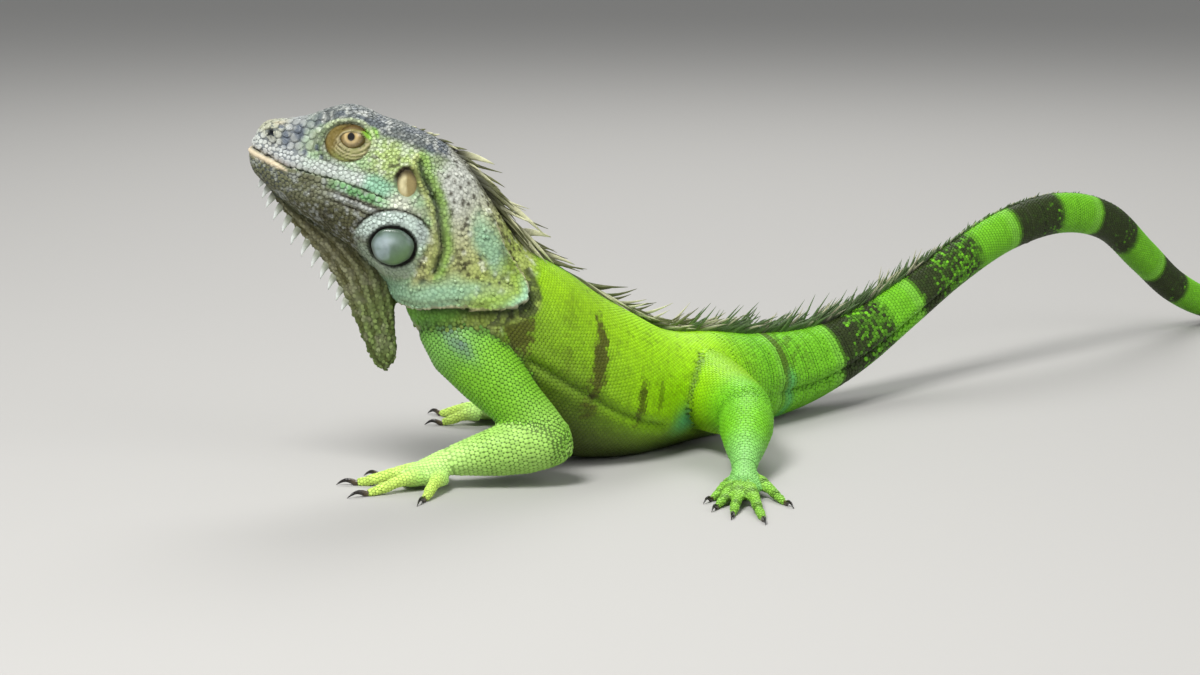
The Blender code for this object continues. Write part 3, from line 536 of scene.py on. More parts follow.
def oval(places, middle, size):
    """1 on the rim of an oval on the side of the head, less inside it."""
    level, upright = upright_axes(places, middle)
    return np.hypot(level / size[0], upright / size[1])


def eye_gap(places):
    """1 on the rim of the eye's opening, an oval that comes to a point at both corners."""
    level, upright = upright_axes(places, EYE)
    level, upright = level / EYE_OPENING[0], upright / EYE_OPENING[1]
    upright = upright + 0.12 * level
    upright = np.where(upright > 0.0, 1.2 * upright, upright)
    return 0.65 * np.hypot(level, upright) + 0.35 * (np.abs(level) ** 1.8 + np.abs(upright))


def lids(behind, above):
    """1 under the eye's corners and 0 over them, and the same without the front corner."""
    under = soft(EYE[1] + 1.2, EYE[1] - 1.0, above)
    return under, under * soft(EYE[0] - 8.0, EYE[0] - 4.5, behind)


def fold_gap(places, normals, share, fold):
    """How far places lie from a fold of their side, and whether they lie in front of it."""
    best, turn = np.full(len(places), 1e9), np.zeros(len(places))
    rows = np.array(fold, dtype=float)
    for side in SIDES.values():
        here = np.where((share < 0.5) == (side > 0))[0]
        some, outward = places[here], normals[here]
        nearest, leaning = best[here], turn[here]
        degrees = rows[:, 1] if side > 0 else 540.0 - rows[:, 1]
        line = body_points(rows[:, 0], np.radians(degrees))
        for start, stop in zip(line, line[1:]):
            way = stop - start
            along = np.clip((some - start) @ way / (way @ way), 0.0, 1.0)
            away = some - (start + along[:, None] * way)
            distance = np.linalg.norm(away, axis=1)
            facing = np.sign((np.cross(way, outward) * away).sum(1)) * side
            leaning = np.where(distance < nearest, facing, leaning)
            nearest = np.minimum(distance, nearest)
        best[here], turn[here] = nearest, leaning
    return best, turn < 0.0


def furrowed(number):
    """1 along the length of tail that has a furrow."""
    return soft(16.6, 17.4, number) * soft(21.5, 20.0, number)


def pleat(number, share):
    """The throat flap's share from root to edge, and the height of its upright pleats."""
    down = 0.5 - 0.5 * np.cos(TURN * share)
    return down, np.sin(down * 30.0 + 1.3 * np.sin(number * 1.4))


EYEBALLS = {}
for side_name, side in SIDES.items():
    low, high = np.array(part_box(f"eye_{side_name}"))
    EYEBALLS[side] = ((low + high) / 2 / MM, (high[0] - low[0]) / 2 / MM)


def relief(places, normals, region, number, share):
    """How far every place of the hide moves, for its folds, lids, lips and pits."""
    on_body, low_share = region == BODY, np.minimum(share, 1.0 - share)
    face = on_body & (number < FACE_END)
    behind, above = head_axes(places)
    lips, eye, sheath = above - lips_at(behind), eye_gap(places), oval(places, *SHEATH)
    nose, ear, disc = oval(places, *NOSTRIL), oval(places, *EAR), oval(places, *SHIELD)
    lower = lids(behind, above)[1]
    # lips: a groove, with both lips full beside it
    push = (1.0 - soft(55.0, 61.0, behind)) * (
        -1.25 * hump(0.0, 0.55, lips) + 0.45 * hump(1.9, 1.1, lips)
        + (0.4 + 0.4 * soft(19.0, 15.0, behind)) * hump(-1.8, 0.9, lips))
    push += -2.2 * (1.0 - soft(0.6, 1.1, nose)) + 0.55 * hump(1.5, 0.4, nose)
    # the sheath of scales round the eye, in folds like rings
    push += (0.5 * hump(1.2, 0.12, eye)
             + lower * (0.4 * (hump(1.68, 0.12, eye) + hump(2.12, 0.13, eye))
                        - 0.6 * sum(hump(crease, 0.08, eye) for crease in (1.45, 1.9, 2.36)))
             + (1.0 - lower) * (0.5 * hump(1.5, 0.25, eye) - 0.5 * hump(1.95, 0.12, eye))
             - (0.8 - 0.35 * lower) * hump(1.02, 0.06, sheath)
             + (0.15 + 0.95 * (1.0 - lower)) * hump(1.2, 0.1, sheath))
    # the pit of the eardrum and the groove round the cheek shield
    push += -1.5 * (1.0 - soft(0.8, 1.05, ear)) + 0.7 * hump(1.22, 0.16, ear)
    push += (-0.9 * (1.0 - soft(1.1, 1.2, disc)) + 0.5 * hump(1.34, 0.12, disc)
             - 0.8 * soft(0.0, 0.5, (above - SHIELD[0][1]) / 9.0) * hump(1.95, 0.07, disc))
    # the jaw's muscle and creases and the small hollow of the temple
    push += (0.8 * hump(57.0, 6.0, behind) * hump(-5.0, 6.0, above)
             - 0.7 * hump(46.0, 4.0, behind) * hump(9.0, 3.0, above))
    push += hump(48.0, 13.0, behind) * sum(
        0.35 * hump(drop + 1.6, 0.9, lips) - 0.8 * hump(drop, 0.5, lips) for drop in JAW_CREASES)
    push *= face
    # behind the jaw a crease, over the shoulder a loose flap, along the flank a fold
    near = on_body & (number < 16.0)
    gap, _ = fold_gap(places, normals, share, JAW_FOLD)
    push += near * (-1.9 * hump(0.0, 1.1, gap) + 0.8 * hump(3.0, 1.5, gap))
    gap, front = fold_gap(places, normals, share, SHOULDER_FOLD)
    wrinkles = 0.45 * np.sin(places[:, 0] * 1.5 + places[:, 2] * 0.4)
    push += near * np.where(front, 2.6 * (1.0 - soft(0.0, 13.0, gap)), -1.3 * (1.0 - soft(1.0, 6.0, gap))
                            + (number < 12.1) * soft(14.0, 4.0, gap) * wrinkles)
    gap, _ = fold_gap(places, normals, share, FLANK_FOLD)
    push += near * (-1.2 * hump(0.0, 1.6, gap) + 0.7 * hump(4.0, 2.5, gap))
    # pleats of the throat flap, folds across the trunk, furrows between the tail's muscles
    down, pleats = pleat(number, share)
    push += (region == DEWLAP) * pleats * 0.6 * soft(0.03, 0.2, down)
    push += on_body * (number > 11.0) * (number < 17.0) * 0.35 * np.sin(places[:, 0] / 5.2)
    push += on_body * furrowed(number) * (
        0.9 * hump(FURROW - 0.045, 0.03, low_share) - 1.7 * hump(FURROW, 0.012, low_share)
        + 0.8 * hump(FURROW + 0.045, 0.03, low_share))
    move = normals * push[:, None]
    # the opening between the lids: inside it the hide turns in round the eyeball
    for side, (ball, size) in EYEBALLS.items():
        away = places + move - ball
        far = np.linalg.norm(away, axis=1)
        lid = np.maximum(far, size + 0.75 - 0.5 * soft(1.35, 2.4, eye))
        inside = 1.0 - soft(0.98, 1.1, eye)
        wanted = lid * (1.0 - inside) + (size - 1.6) * inside
        wrap = (face & ((share < 0.5) == (side > 0))) * (1.0 - soft(1.4, 2.1, eye))
        move += ((wanted / np.maximum(far, 0.1) - 1.0) * wrap)[:, None] * away
    return move


def settle(places):
    """Nothing lies under the floor."""
    places[:, 2] = np.maximum(places[:, 2], 0.06)
    return places


flat_hide = BVHTree.FromPolygons([tuple(p) for p in hide_places],
                                 [tuple(f.vertices) for f in hide_mesh.polygons])
hide_move = relief(hide_places, hide_normals, hide_region, hide_number, hide_share)
hide_mesh.vertices.foreach_set("co", (settle(hide_places + hide_move) * MM).reshape(-1))
hide_mesh.update()
folded_normals = read(hide_mesh, "normal")
hide_mesh.shade_smooth()


# ============================== skin: its markings ===========================
# Lime flanks, a grey speckled head, a tan neck and a ringed tail.  The same
# paint goes on the hide and on every scale, worked out from where each lies.
def paint(red, green, blue):
    """A paint as it looks, turned into the light's own scale."""
    value = np.array([red, green, blue])
    return np.where(value <= 0.04045, value / 12.92, ((value + 0.055) / 1.055) ** 2.4)


LIME, BRIGHT, FLANK = paint(0.54, 0.72, 0.06), paint(0.60, 0.82, 0.03), paint(0.50, 0.68, 0.06)
GRASS, MINT, LEAF = paint(0.43, 0.72, 0.12), paint(0.50, 0.75, 0.38), paint(0.36, 0.60, 0.11)
OLIVE, MOSS, FOREST = paint(0.33, 0.40, 0.13), paint(0.24, 0.29, 0.07), paint(0.16, 0.26, 0.06)
UMBER, SOOT, BARK = paint(0.24, 0.23, 0.07), paint(0.13, 0.13, 0.06), paint(0.19, 0.16, 0.08)
SLATE, ASH, BONE = paint(0.50, 0.53, 0.52), paint(0.68, 0.70, 0.69), paint(0.86, 0.87, 0.83)
TAN, DRAB, RUST = paint(0.66, 0.67, 0.45), paint(0.38, 0.39, 0.28), paint(0.27, 0.25, 0.06)
JADE, PALE_MINT, TEAL = paint(0.66, 0.80, 0.62), paint(0.54, 0.69, 0.56), paint(0.35, 0.68, 0.36)
LILAC, SAP, CREAM = paint(0.74, 0.75, 0.71), paint(0.60, 0.68, 0.30), paint(0.84, 0.84, 0.68)
SILVER, STEEL, BLUSH = paint(0.74, 0.76, 0.75), paint(0.33, 0.37, 0.42), paint(0.80, 0.73, 0.60)

chance = np.random.default_rng(7)
lattice = chance.random((24, 24, 24))


def mottle(places, size):
    """Soft patches from 0 to 1, about so many millimetres across."""
    at = places / size
    cell = np.floor(at).astype(int)
    inside = at - cell
    inside = inside * inside * (3.0 - 2.0 * inside)
    total = 0.0
    for corner in np.ndindex(2, 2, 2):
        weight = np.prod(np.where(corner, inside, 1.0 - inside), axis=-1)
        i, j, k = ((cell + corner) % 24).T
        total = total + weight * lattice[i, j, k]
    return total


def lay(ground, *coats):
    """Lay paints over a ground, one after the other, each as thick as its mask says."""
    for colour, mask in coats:
        ground = ground + (colour - ground) * np.clip(mask, 0.0, 1.0)[:, None]
    return ground


# dark rings of the tail, from row number to row number
TAIL_RINGS = [(17.1, 17.75), (18.4, 19.5), (20.1, 21.3), (22.05, 22.85), (23.65, 24.5), (25.3, 26.0),
              (26.6, 27.25), (27.9, 28.5), (29.2, 29.8), (30.5, 31.1), (31.8, 33.2)]
# dark streaks of the flank: row number, degrees, half width in rows, half height, depth
STREAKS = [(13.46, 170.0, 0.105, 30.0, 0.9), (14.16, 189.0, 0.055, 15.0, 0.8),
           (14.42, 183.0, 0.04, 10.0, 0.5), (13.6, 207.0, 0.09, 8.0, 0.5),
           (12.9, 150.0, 0.1, 18.0, 0.25), (13.1, 184.0, 0.09, 10.0, 0.25),
           (12.42, 188.0, 0.2, 15.0, 0.85)]
DOTS = 420                    # small dark dots over the neck and nape
dot_numbers = 9.7 + 2.2 * chance.random(DOTS)
dot_angles = math.pi / 2 + math.pi * (2.0 * chance.random(DOTS) - 1.0) * 0.72
dots = tree_of(body_points(dot_numbers, dot_angles))


def body_colour(places, number, share):
    """Paint of neck, trunk and tail."""
    drop = np.minimum(share, 1.0 - share) * 2.0
    degrees, top = side_degrees(number, share), soft(0.75, 0.2, drop)
    patch, grit, fine = mottle(places, 7.0), mottle(places, 2.4), mottle(places + 5.0, 1.2)
    colour = lay(
        FLANK, (LIME, soft(0.5, 0.2, drop)), (BRIGHT, soft(13.3, 14.4, number) * soft(0.75, 0.5, drop)),
        # the lower flank and belly darker: painted shade under the body
        (OLIVE, soft(0.58, 0.78, drop) * 0.85),
        (MOSS * 0.8, soft(0.68, 0.86, drop) * soft(17.5, 16.0, number)),
        (LEAF, 0.5 * soft(0.1, 0.03, drop) * soft(16.5, 14.0, number)),
        # shoulders: olive behind the fold, thinning out to lime, and a teal patch with a dark edge
        (OLIVE, soft(13.1, 12.5, number) * soft(0.3, 0.5, drop) * 0.45),
        (OLIVE * 0.9, soft(0.45, 0.6, drop) * hump(13.3, 0.7, number) * 0.5),
        (paint(0.40, 0.80, 0.52), 0.9 * hump(14.95, 0.16, number) * hump(0.62, 0.07, drop)),
        (OLIVE * 0.8, 0.8 * hump(15.05 + 0.6 * (0.5 - drop), 0.07, number) * hump(0.5, 0.1, drop)))
    # neck: tan and yellow, paler and greyer towards the nape, with small dark spots
    gap = np.array([dots.find(place)[2] for place in places])
    tan = lay(
        TAN, (LILAC, soft(0.62, 0.3, drop) * soft(11.5, 10.3, number)),
        (SAP, soft(11.0, 11.8, number) * soft(0.85, 0.5, drop) * 0.75),
        (OLIVE, soft(0.42, 0.62, drop) * soft(10.9, 10.5, number) * 0.7),
        (BONE, soft(0.66, 0.78, grit) * 0.45),
        (BARK, 0.85 * soft(1.35, 0.75, gap + 0.5 * (grit - 0.5))), (UMBER, 0.6 * soft(0.13, 0.05, drop)))
    # haunch and tail: fresher green, rings peppered with dark, each with a teal line in front
    pepper = 0.75 * mottle(places + 11.0, 1.3) + 0.25 * patch
    ring = sum(soft(a - 0.06, a + 0.06, number) * soft(b + 0.08, b - 0.08, number)
               for a, b in TAIL_RINGS[1:])
    front = sum(soft(a - 0.05, a + 0.02, number) * soft(a + 0.75, a + 0.12, number)
                for a, _ in TAIL_RINGS[1:])
    before = sum(soft(a - 0.02, a - 0.06, number) * soft(a - 0.22, a - 0.12, number)
                 for a, _ in TAIL_RINGS[:6])
    dark = 0.41 + 0.3 * front + 0.06 * top + 0.22 * soft(21.3, 22.3, number)
    first = soft(17.02, 17.08, number) * soft(18.0, 17.5, number)
    colour = lay(
        colour, (tan, soft(NECK_END, 12.1, number)), (GRASS, soft(15.4, 16.8, number)),
        # the tail darker green underneath: painted shade under it
        (LEAF, soft(17.0, 18.0, number) * soft(0.55, 0.95, drop) * 0.7),
        (LEAF * 0.6, ring * soft(0.2, 0.5, mottle(places + 2.0, 1.1)) * 0.85),
        (SOOT * 1.2, ring * soft(dark + 0.16, dark - 0.08, pepper) * 0.92),
        (BRIGHT * 0.5 + TEAL * 0.5, 0.6 * before),
        (UMBER, first * np.maximum(soft(17.24, 17.16, number) * soft(0.85, 0.35, drop),
                                   soft(0.5, 0.42, pepper) * 0.6 * top) * 0.75),
        (TEAL, hump(17.2, 0.09, number) * soft(0.35, 0.5, drop) * 0.8))
    for middle, angle, wide, tall, depth in STREAKS:
        lean = number - 0.0036 * (degrees - angle)
        spot = (np.hypot((lean - middle) / wide, (degrees - angle) / tall) + 0.7 * (grit - 0.5)
                + (1.0 if depth > 0.6 else 1.8) * (fine - 0.5))
        colour = lay(colour, (RUST, soft(1.25, 0.7, spot) * depth))
    grains = soft(0.66, 0.8, mottle(places + 3.0, 1.5)) * soft(12.6, 13.2, number) * (number < 17.0)
    return lay(colour, (UMBER, 0.3 * grains * soft(0.9, 0.3, drop)))


# slate-blue patches of the snout: middle and half sizes
SNOUT_PATCHES = (((11.9, 9.7), (1.5, 3.7)), ((15.9, 14.3), (2.0, 3.1)), ((24.9, 11.9), (1.2, 1.4)),
                 ((27.8, 9.2), (1.0, 1.1)), ((21.0, 8.0), (1.1, 1.5)), ((8.4, 13.4), (1.2, 0.9)))


def head_colour(places):
    """Paint of the head: slate crown, cream snout, mint cheeks, drab jaws."""
    behind, above = head_axes(places)
    patch, grit, fleck = mottle(places, 5.0), mottle(places + 7.0, 2.2), mottle(places + 9.0, 1.5)
    crown, lips = crown_at(behind, 33.0), above - lips_at(behind)
    snout = lay(SILVER * 0.5, (CREAM * 0.62, soft(13.0, 5.0, behind) * 0.6))
    colour = lay(
        # cheek and temple: grey-green, yellower behind the eye, flecked white and black
        paint(0.53, 0.58, 0.46), (JADE * 0.85, soft(0.35, 0.7, patch) * 0.75),
        (paint(0.62, 0.70, 0.42), 1.1 * hump(54.0, 12.0, behind) * hump(19.0, 8.0, above)),
        (BONE, soft(0.6, 0.78, fleck) * 0.35),
        (BARK, soft(0.70, 0.8, mottle(places + 17.0, 1.6)) * soft(34.0, 44.0, behind)
         * soft(8.0, 12.0, above) * 0.7),
        # snout: cream plates with slate-blue patches behind the nostril
        (snout, soft(25.0, 15.0, behind)),
        *[(STEEL * 0.8, soft(1.25, 0.75, oval(places, *spot) + 0.3 * (fleck - 0.5)) * 0.9)
          for spot in SNOUT_PATCHES],
        (BLUSH * 0.7, 0.5 * soft(0.5, 0.7, patch) * soft(12.0, 6.0, behind)),
        (paint(0.62, 0.50, 0.46), 0.45 * soft(3.2, 1.2, lips) * soft(-0.2, 0.3, lips)
         * soft(30.0, 18.0, behind)))
    # crown and brow: slate with white flecks
    slate = lay(SLATE * 0.5, (STEEL * 0.8, soft(0.5, 0.7, patch) * 0.5),
                (BONE * 0.8, soft(0.55, 0.8, fleck) * 0.45))
    top = soft(crown - 8.5, crown - 5.0, above + 1.5 * (patch - 0.5)) * soft(15.0, 22.0, behind)
    # the sheath of the eye: olive-brown in front, lime behind, cream folds, painted shade in its creases,
    # along the lids' edge and in the groove round it
    eye, around = eye_gap(places), oval(places, *SHEATH)
    under, folds = lids(behind, above)
    fore = soft(EYE[0] + 2.0, EYE[0] - 5.0, behind + 0.6 * (EYE[1] - above))
    ridges = np.maximum(hump(1.22, 0.1, eye), folds * np.maximum(
        hump(1.68, 0.11, eye), 0.6 * hump(2.13, 0.12, eye)))
    # painted shade in the sheath's creases and along the lids' edge
    creases = np.maximum(hump(1.02, 0.07, eye), folds * np.maximum(
        hump(1.45, 0.07, eye), 0.7 * np.maximum(hump(1.9, 0.07, eye), hump(2.37, 0.08, eye))))
    sheath = lay(paint(0.50, 0.52, 0.28), (paint(0.42, 0.35, 0.15), fore * 0.9),
                 (paint(0.76, 0.72, 0.56), 0.8 * ridges), (BARK * 0.6, 0.9 * creases),
                 (BARK, hump(1.0, 0.06, around) * (0.35 + 0.5 * under)))
    rear_corner = oval(places, (EYE[0] + 5.0, EYE[1] + 5.0), (3.6, 2.4))
    colour = lay(
        colour, (slate, top), (sheath, soft(1.07, 1.0, around)),
        (paint(0.52, 0.72, 0.22), 0.9 * soft(1.3, 0.6, rear_corner) * soft(1.1, 1.3, eye)),
        (paint(0.74, 0.79, 0.62), hump(1.18, 0.1, around) * (1.0 - under) * 0.8),
        (paint(0.30, 0.38, 0.22), hump(1.2, 0.1, around) * under
         * soft(EYE[0] + 3.0, EYE[0] - 1.0, behind) * 0.6),
        (SOOT, soft(1.15, 0.85, oval(places, *NOSTRIL))))
    # lips: a silvery upper band, turquoise towards its end, a pale thin line in front below
    band = soft(0.0, 0.8, lips) * soft(8.0, 4.5, lips + 2.5 * (patch - 0.5))
    upper_lip = lay(SILVER, (paint(0.50, 0.76, 0.62), soft(44.0, 50.0, behind) * 0.85))
    rear = soft(30.0, 42.0, behind)
    bar = hump(-1.8, 0.95 * soft(19.0, 11.0, behind) + 0.05, lips) * soft(18.5, 16.0, behind)
    jaw = lay(
        paint(0.45, 0.46, 0.37),
        (paint(0.44, 0.64, 0.42), rear * soft(-4.6, -3.0, lips) * soft(0.3, 0.6, patch + 0.2)),
        (ASH, rear * hump(-6.2, 1.2, lips) * 0.7), (paint(0.33, 0.33, 0.22), soft(-9.0, -12.5, lips)),
        (DRAB, soft(34.0, 24.0, behind) * 0.7),
        (paint(0.27, 0.27, 0.17), hump(38.0, 8.0, behind) * soft(-8.0, -12.0, lips) * 0.7),
        (ASH, soft(0.55, 0.8, fleck) * 0.5), (BARK, soft(0.6, 0.8, mottle(places + 23.0, 3.0)) * 0.35),
        (paint(0.86, 0.80, 0.68), bar * 1.3),
        *[(BARK, rear * hump(drop, 0.5, lips) * 0.8) for drop in JAW_CREASES])
    # white below the ear, a net of large white scales over the cheek shield
    disc, ear = oval(places, *SHIELD), oval(places, *EAR)
    height = (above - SHIELD[0][1]) / 9.0
    arch = lay(paint(0.71, 0.77, 0.73), (SLATE, soft(0.6, 0.75, grit) * 0.5))
    return lay(
        colour, (upper_lip, band * soft(62.0, 56.0, behind) * 0.75),
        (jaw, soft(0.2, -0.6, lips) * soft(66.0, 58.0, behind)),
        (paint(0.86, 0.88, 0.80), 1.2 * hump(63.5, 5.0, behind) * hump(3.0, 4.5, above)),
        (arch, soft(2.0, 1.8, disc) * soft(-0.2, 0.5, height + 0.2 * (SHIELD[0][0] - behind) / 9.0)),
        (SOOT, hump(1.95, 0.085, disc) * soft(0.0, 0.4, height)),
        (paint(0.62, 0.68, 0.60), soft(1.9, 1.5, disc) * soft(-0.1, -0.6, height) * 0.8),
        (SOOT * 0.35, soft(1.22, 1.14, disc)),
        (BARK, soft(1.35, 1.15, ear) * soft(-0.3, 0.3, (above - EAR[0][1]) / 6.0)))


# where limbs meet the body, for the painted shade along it
edge_ends = np.array([tuple(edge.vertices) for edge in hide_mesh.edges])
seam_ends = edge_ends[hide_region[edge_ends[:, 0]] != hide_region[edge_ends[:, 1]]]
creased = (hide_region[seam_ends] < LEG_LEFT).all(1) | (hide_places[seam_ends[:, 0], 0] < 34.0)
seam = tree_of(hide_places[seam_ends[creased].reshape(-1)])


def crease_shade(places, normals, region, number, share):
    """How much painted shade lies in the bottom of each fold, in the tail's furrow and where the limbs
    meet the body, from 0 to 1.
    """
    jaw, _ = fold_gap(places, normals, share, JAW_FOLD)
    shoulder, front = fold_gap(places, normals, share, SHOULDER_FOLD)
    flank, _ = fold_gap(places, normals, share, FLANK_FOLD)
    seams = np.array([seam.find(place)[2] for place in places])
    folds = hump(0.0, 1.5, jaw) + ~front * hump(0.5, 2.2, shoulder) + 0.5 * hump(0.0, 1.1, flank)
    furrow = 0.3 * furrowed(number) * hump(FURROW, 0.009, np.minimum(share, 1.0 - share))
    return ((region == BODY) * ((number < 15.5) * folds + furrow)
            + 0.6 * hump(0.0, 1.3, seams) * (0.6 + 0.6 * mottle(places, 5.0)))


def coat_colour(places, normals, region, number, share):
    """The paint at any place of the animal."""
    behind, above = head_axes(places)
    edge_of_head = soft(10.15, 9.85, number + 0.25 * (mottle(places, 6.0) - 0.5))
    cheek = soft(80.0, 77.0, behind) * soft(16.0, 12.0, above) * (number < 11.4)
    # behind the jaw a yellow-green crease
    gap, front = fold_gap(places, normals, share, JAW_FOLD)
    near = (region == BODY) & (number > 8.5) & (number < 12.0)
    colour = lay(body_colour(places, number, share),
                 (head_colour(places), np.maximum(edge_of_head, cheek)),
                 (paint(0.52, 0.66, 0.30), near * front * hump(2.2, 2.4, gap) * 0.85),
                 (paint(0.66, 0.70, 0.40), near * ~front * hump(2.6, 1.6, gap) * 0.7))
    # the shoulder fold: a pale mint flap with a pinkish edge, behind it a dark band with
    # fine pale specks, under it loose yellow-green skin
    gap, front = fold_gap(places, normals, share, SHOULDER_FOLD)
    near = (region == BODY) & (number > 10.6) & (number < 13.5)
    flap, outside = near * front, near * ~front
    degrees = side_degrees(number, share)
    low, fore = soft(125.0, 150.0, degrees), soft(11.9, 11.5, number)
    cloud, fine = mottle(places + 3.0, 9.0), mottle(places + 3.0, 2.0)
    band = lay(paint(0.27, 0.30, 0.13), (SAP, soft(0.6, 0.75, fine) * 0.7))
    loose = lay(paint(0.40, 0.64, 0.22), (paint(0.52, 0.60, 0.24), soft(11.6, 11.95, number)))
    colour = lay(
        colour, (PALE_MINT, flap * soft(14.0, 8.0, gap + 5.0 * (cloud - 0.5)) * low
                 * np.maximum(fore, soft(150.0, 176.0, degrees) * 0.4) * 0.9),
        (paint(0.56, 0.70, 0.22), flap * soft(9.0, 4.0, gap) * low * (1.0 - fore) * 0.7),
        (paint(0.66, 0.84, 0.74), flap * soft(6.0, 2.0, gap) * hump(12.25, 0.16, number) * 0.8),
        (RUST, flap * hump(3.0, 1.2, gap) * soft(0.5, 0.7, cloud) * 0.5),
        (BLUSH, flap * soft(1.5, 0.7, gap) * 0.75),
        (band, outside * soft(7.5, 5.5, gap + 1.5 * (fine - 0.5)) * (number > 12.1) * 0.9),
        (loose, outside * soft(16.0, 9.0, gap) * (number <= 12.1) * soft(170.0, 190.0, degrees) * 0.9))
    # throat flap, arms and legs
    grit, pleats = mottle(places + 5.0, 2.5), pleat(number, share)[1]
    lower = soft(3.0, 6.0, number)
    # the throat flap's pleats: a painted highlight along their tops and painted shade in their hollows
    ridges = lay(paint(0.58, 0.58, 0.46), (paint(0.52, 0.60, 0.34), lower))
    throat = lay(paint(0.40, 0.39, 0.26), (paint(0.34, 0.40, 0.20), lower),
                 (ridges, soft(0.0, 0.9, pleats) * 0.5), (UMBER, soft(-0.2, -1.0, pleats) * 0.5),
                 (paint(0.62, 0.62, 0.52), soft(0.45, 0.8, grit) * 0.3))
    elbow_patch = 0.9 * hump(0.06, 0.16, number + 0.05 * (grit - 0.5)) * hump(
        0.205, 0.035, np.abs(share - 0.5 * (share > 0.5))) * (0.5 + 0.9 * grit)
    arm = lay(paint(0.45, 0.69, 0.16), (paint(0.44, 0.64, 0.32), soft(0.3, 0.0, number) * 0.7),
              (paint(0.38, 0.46, 0.44), elbow_patch), (paint(0.62, 0.80, 0.38), soft(0.6, 1.2, number)),
              (paint(0.76, 0.93, 0.52), soft(1.6, 2.1, number)),
              (paint(0.78, 0.90, 0.42), soft(3.0, 3.6, number)))
    toes = lay(paint(0.54, 0.76, 0.27), (FOREST, soft(0.5, 0.9, np.sin(number * 19.0)) * 0.5))
    leg = lay(GRASS, (BRIGHT * 0.85, soft(1.0, 0.55, number) * 0.9), (MINT, soft(1.45, 1.9, number)),
              (toes, soft(2.9, 3.1, number)))
    return lay(colour, (throat, region == DEWLAP), (arm, (region == ARM_LEFT) | (region == ARM_RIGHT)),
               (leg, region >= LEG_LEFT),
               # painted shade in the folds, the tail's furrow and where the limbs meet the body
               (FOREST * 0.35, crease_shade(places, normals, region, number, share) * 0.9))


def give_colour(mesh, colours):
    """Store the paint on a mesh, corner by corner."""
    layer = mesh.color_attributes.new("coat", "FLOAT_COLOR", "POINT")
    layer.data.foreach_set("color", np.hstack([np.clip(colours, 0.0, 1.0),
                                               np.ones((len(colours), 1))]).reshape(-1))


# between the scales the hide is painted darker, painted shade in the gaps, but not on the lids and the
# lower lip's bar
hide_colour = coat_colour(hide_places, hide_normals, hide_region, hide_number, hide_share)
chin, chin_height = head_axes(hide_places)
chin_drop = chin_height - lips_at(chin)
lip_bar = (hide_region == BODY) & (chin < 18.0) & (chin_drop < -0.4) & (chin_drop > -2.9)
on_lids = (hide_region == BODY) & (hide_number < 11.0) & (oval(hide_places, *SHEATH) < 1.05)
gaps = np.select(
    [lip_bar | on_lids, (hide_region >= ARM_LEFT) & (hide_number > 1.8), hide_region >= LEG_LEFT,
     hide_region >= ARM_LEFT, hide_region == DEWLAP, hide_number < 10.0, hide_number < NECK_END],
    [1.0, 0.62, 0.48, 0.36, 0.75, 0.68, 0.8], 0.55)
steel = 0.5 * (hide_region == BODY) * soft(25.0, 15.0, chin) * (hide_number < 9) * ~lip_bar
give_colour(hide_mesh, lay(hide_colour * gaps[:, None], (STEEL * 0.8, steel)))


def node_of(tree, kind, operation="", **inputs):
    """A new shader node, with what it does and some of its inputs."""
    made = tree.nodes.new(kind)
    if operation:
        made.operation = operation
    for socket, value in inputs.items():
        made.inputs[socket.replace("_", " ")].default_value = value
    return made


def grain_group():
    """A node group: fine grain for skin and scales, as a shade and a height."""
    group = bpy.data.node_groups.new("skin_grain", "ShaderNodeTree")
    for name, way in (("Size", "INPUT"), ("Shade", "OUTPUT"), ("Height", "OUTPUT")):
        group.interface.new_socket(name, in_out=way, socket_type="NodeSocketFloat")
    entry, leave = node_of(group, "NodeGroupInput"), node_of(group, "NodeGroupOutput")
    place = node_of(group, "ShaderNodeTexCoord").outputs["Object"]
    clouds = node_of(group, "ShaderNodeTexNoise", Detail=4.0)
    pores, finer = node_of(group, "ShaderNodeTexVoronoi"), node_of(group, "ShaderNodeMath", "MULTIPLY")
    finer.inputs[1].default_value = 3.0
    shade = node_of(group, "ShaderNodeMapRange", To_Min=0.72, To_Max=1.25)
    for start, end in ((place, clouds.inputs["Vector"]), (place, pores.inputs["Vector"]),
                       (entry.outputs["Size"], clouds.inputs["Scale"]),
                       (entry.outputs["Size"], finer.inputs[0]),
                       (finer.outputs[0], pores.inputs["Scale"]),
                       (clouds.outputs["Fac"], shade.inputs["Value"]),
                       (shade.outputs["Result"], leave.inputs["Shade"]),
                       (pores.outputs["Distance"], leave.inputs["Height"])):
        group.links.new(start, end)
    return group


GRAIN = grain_group()


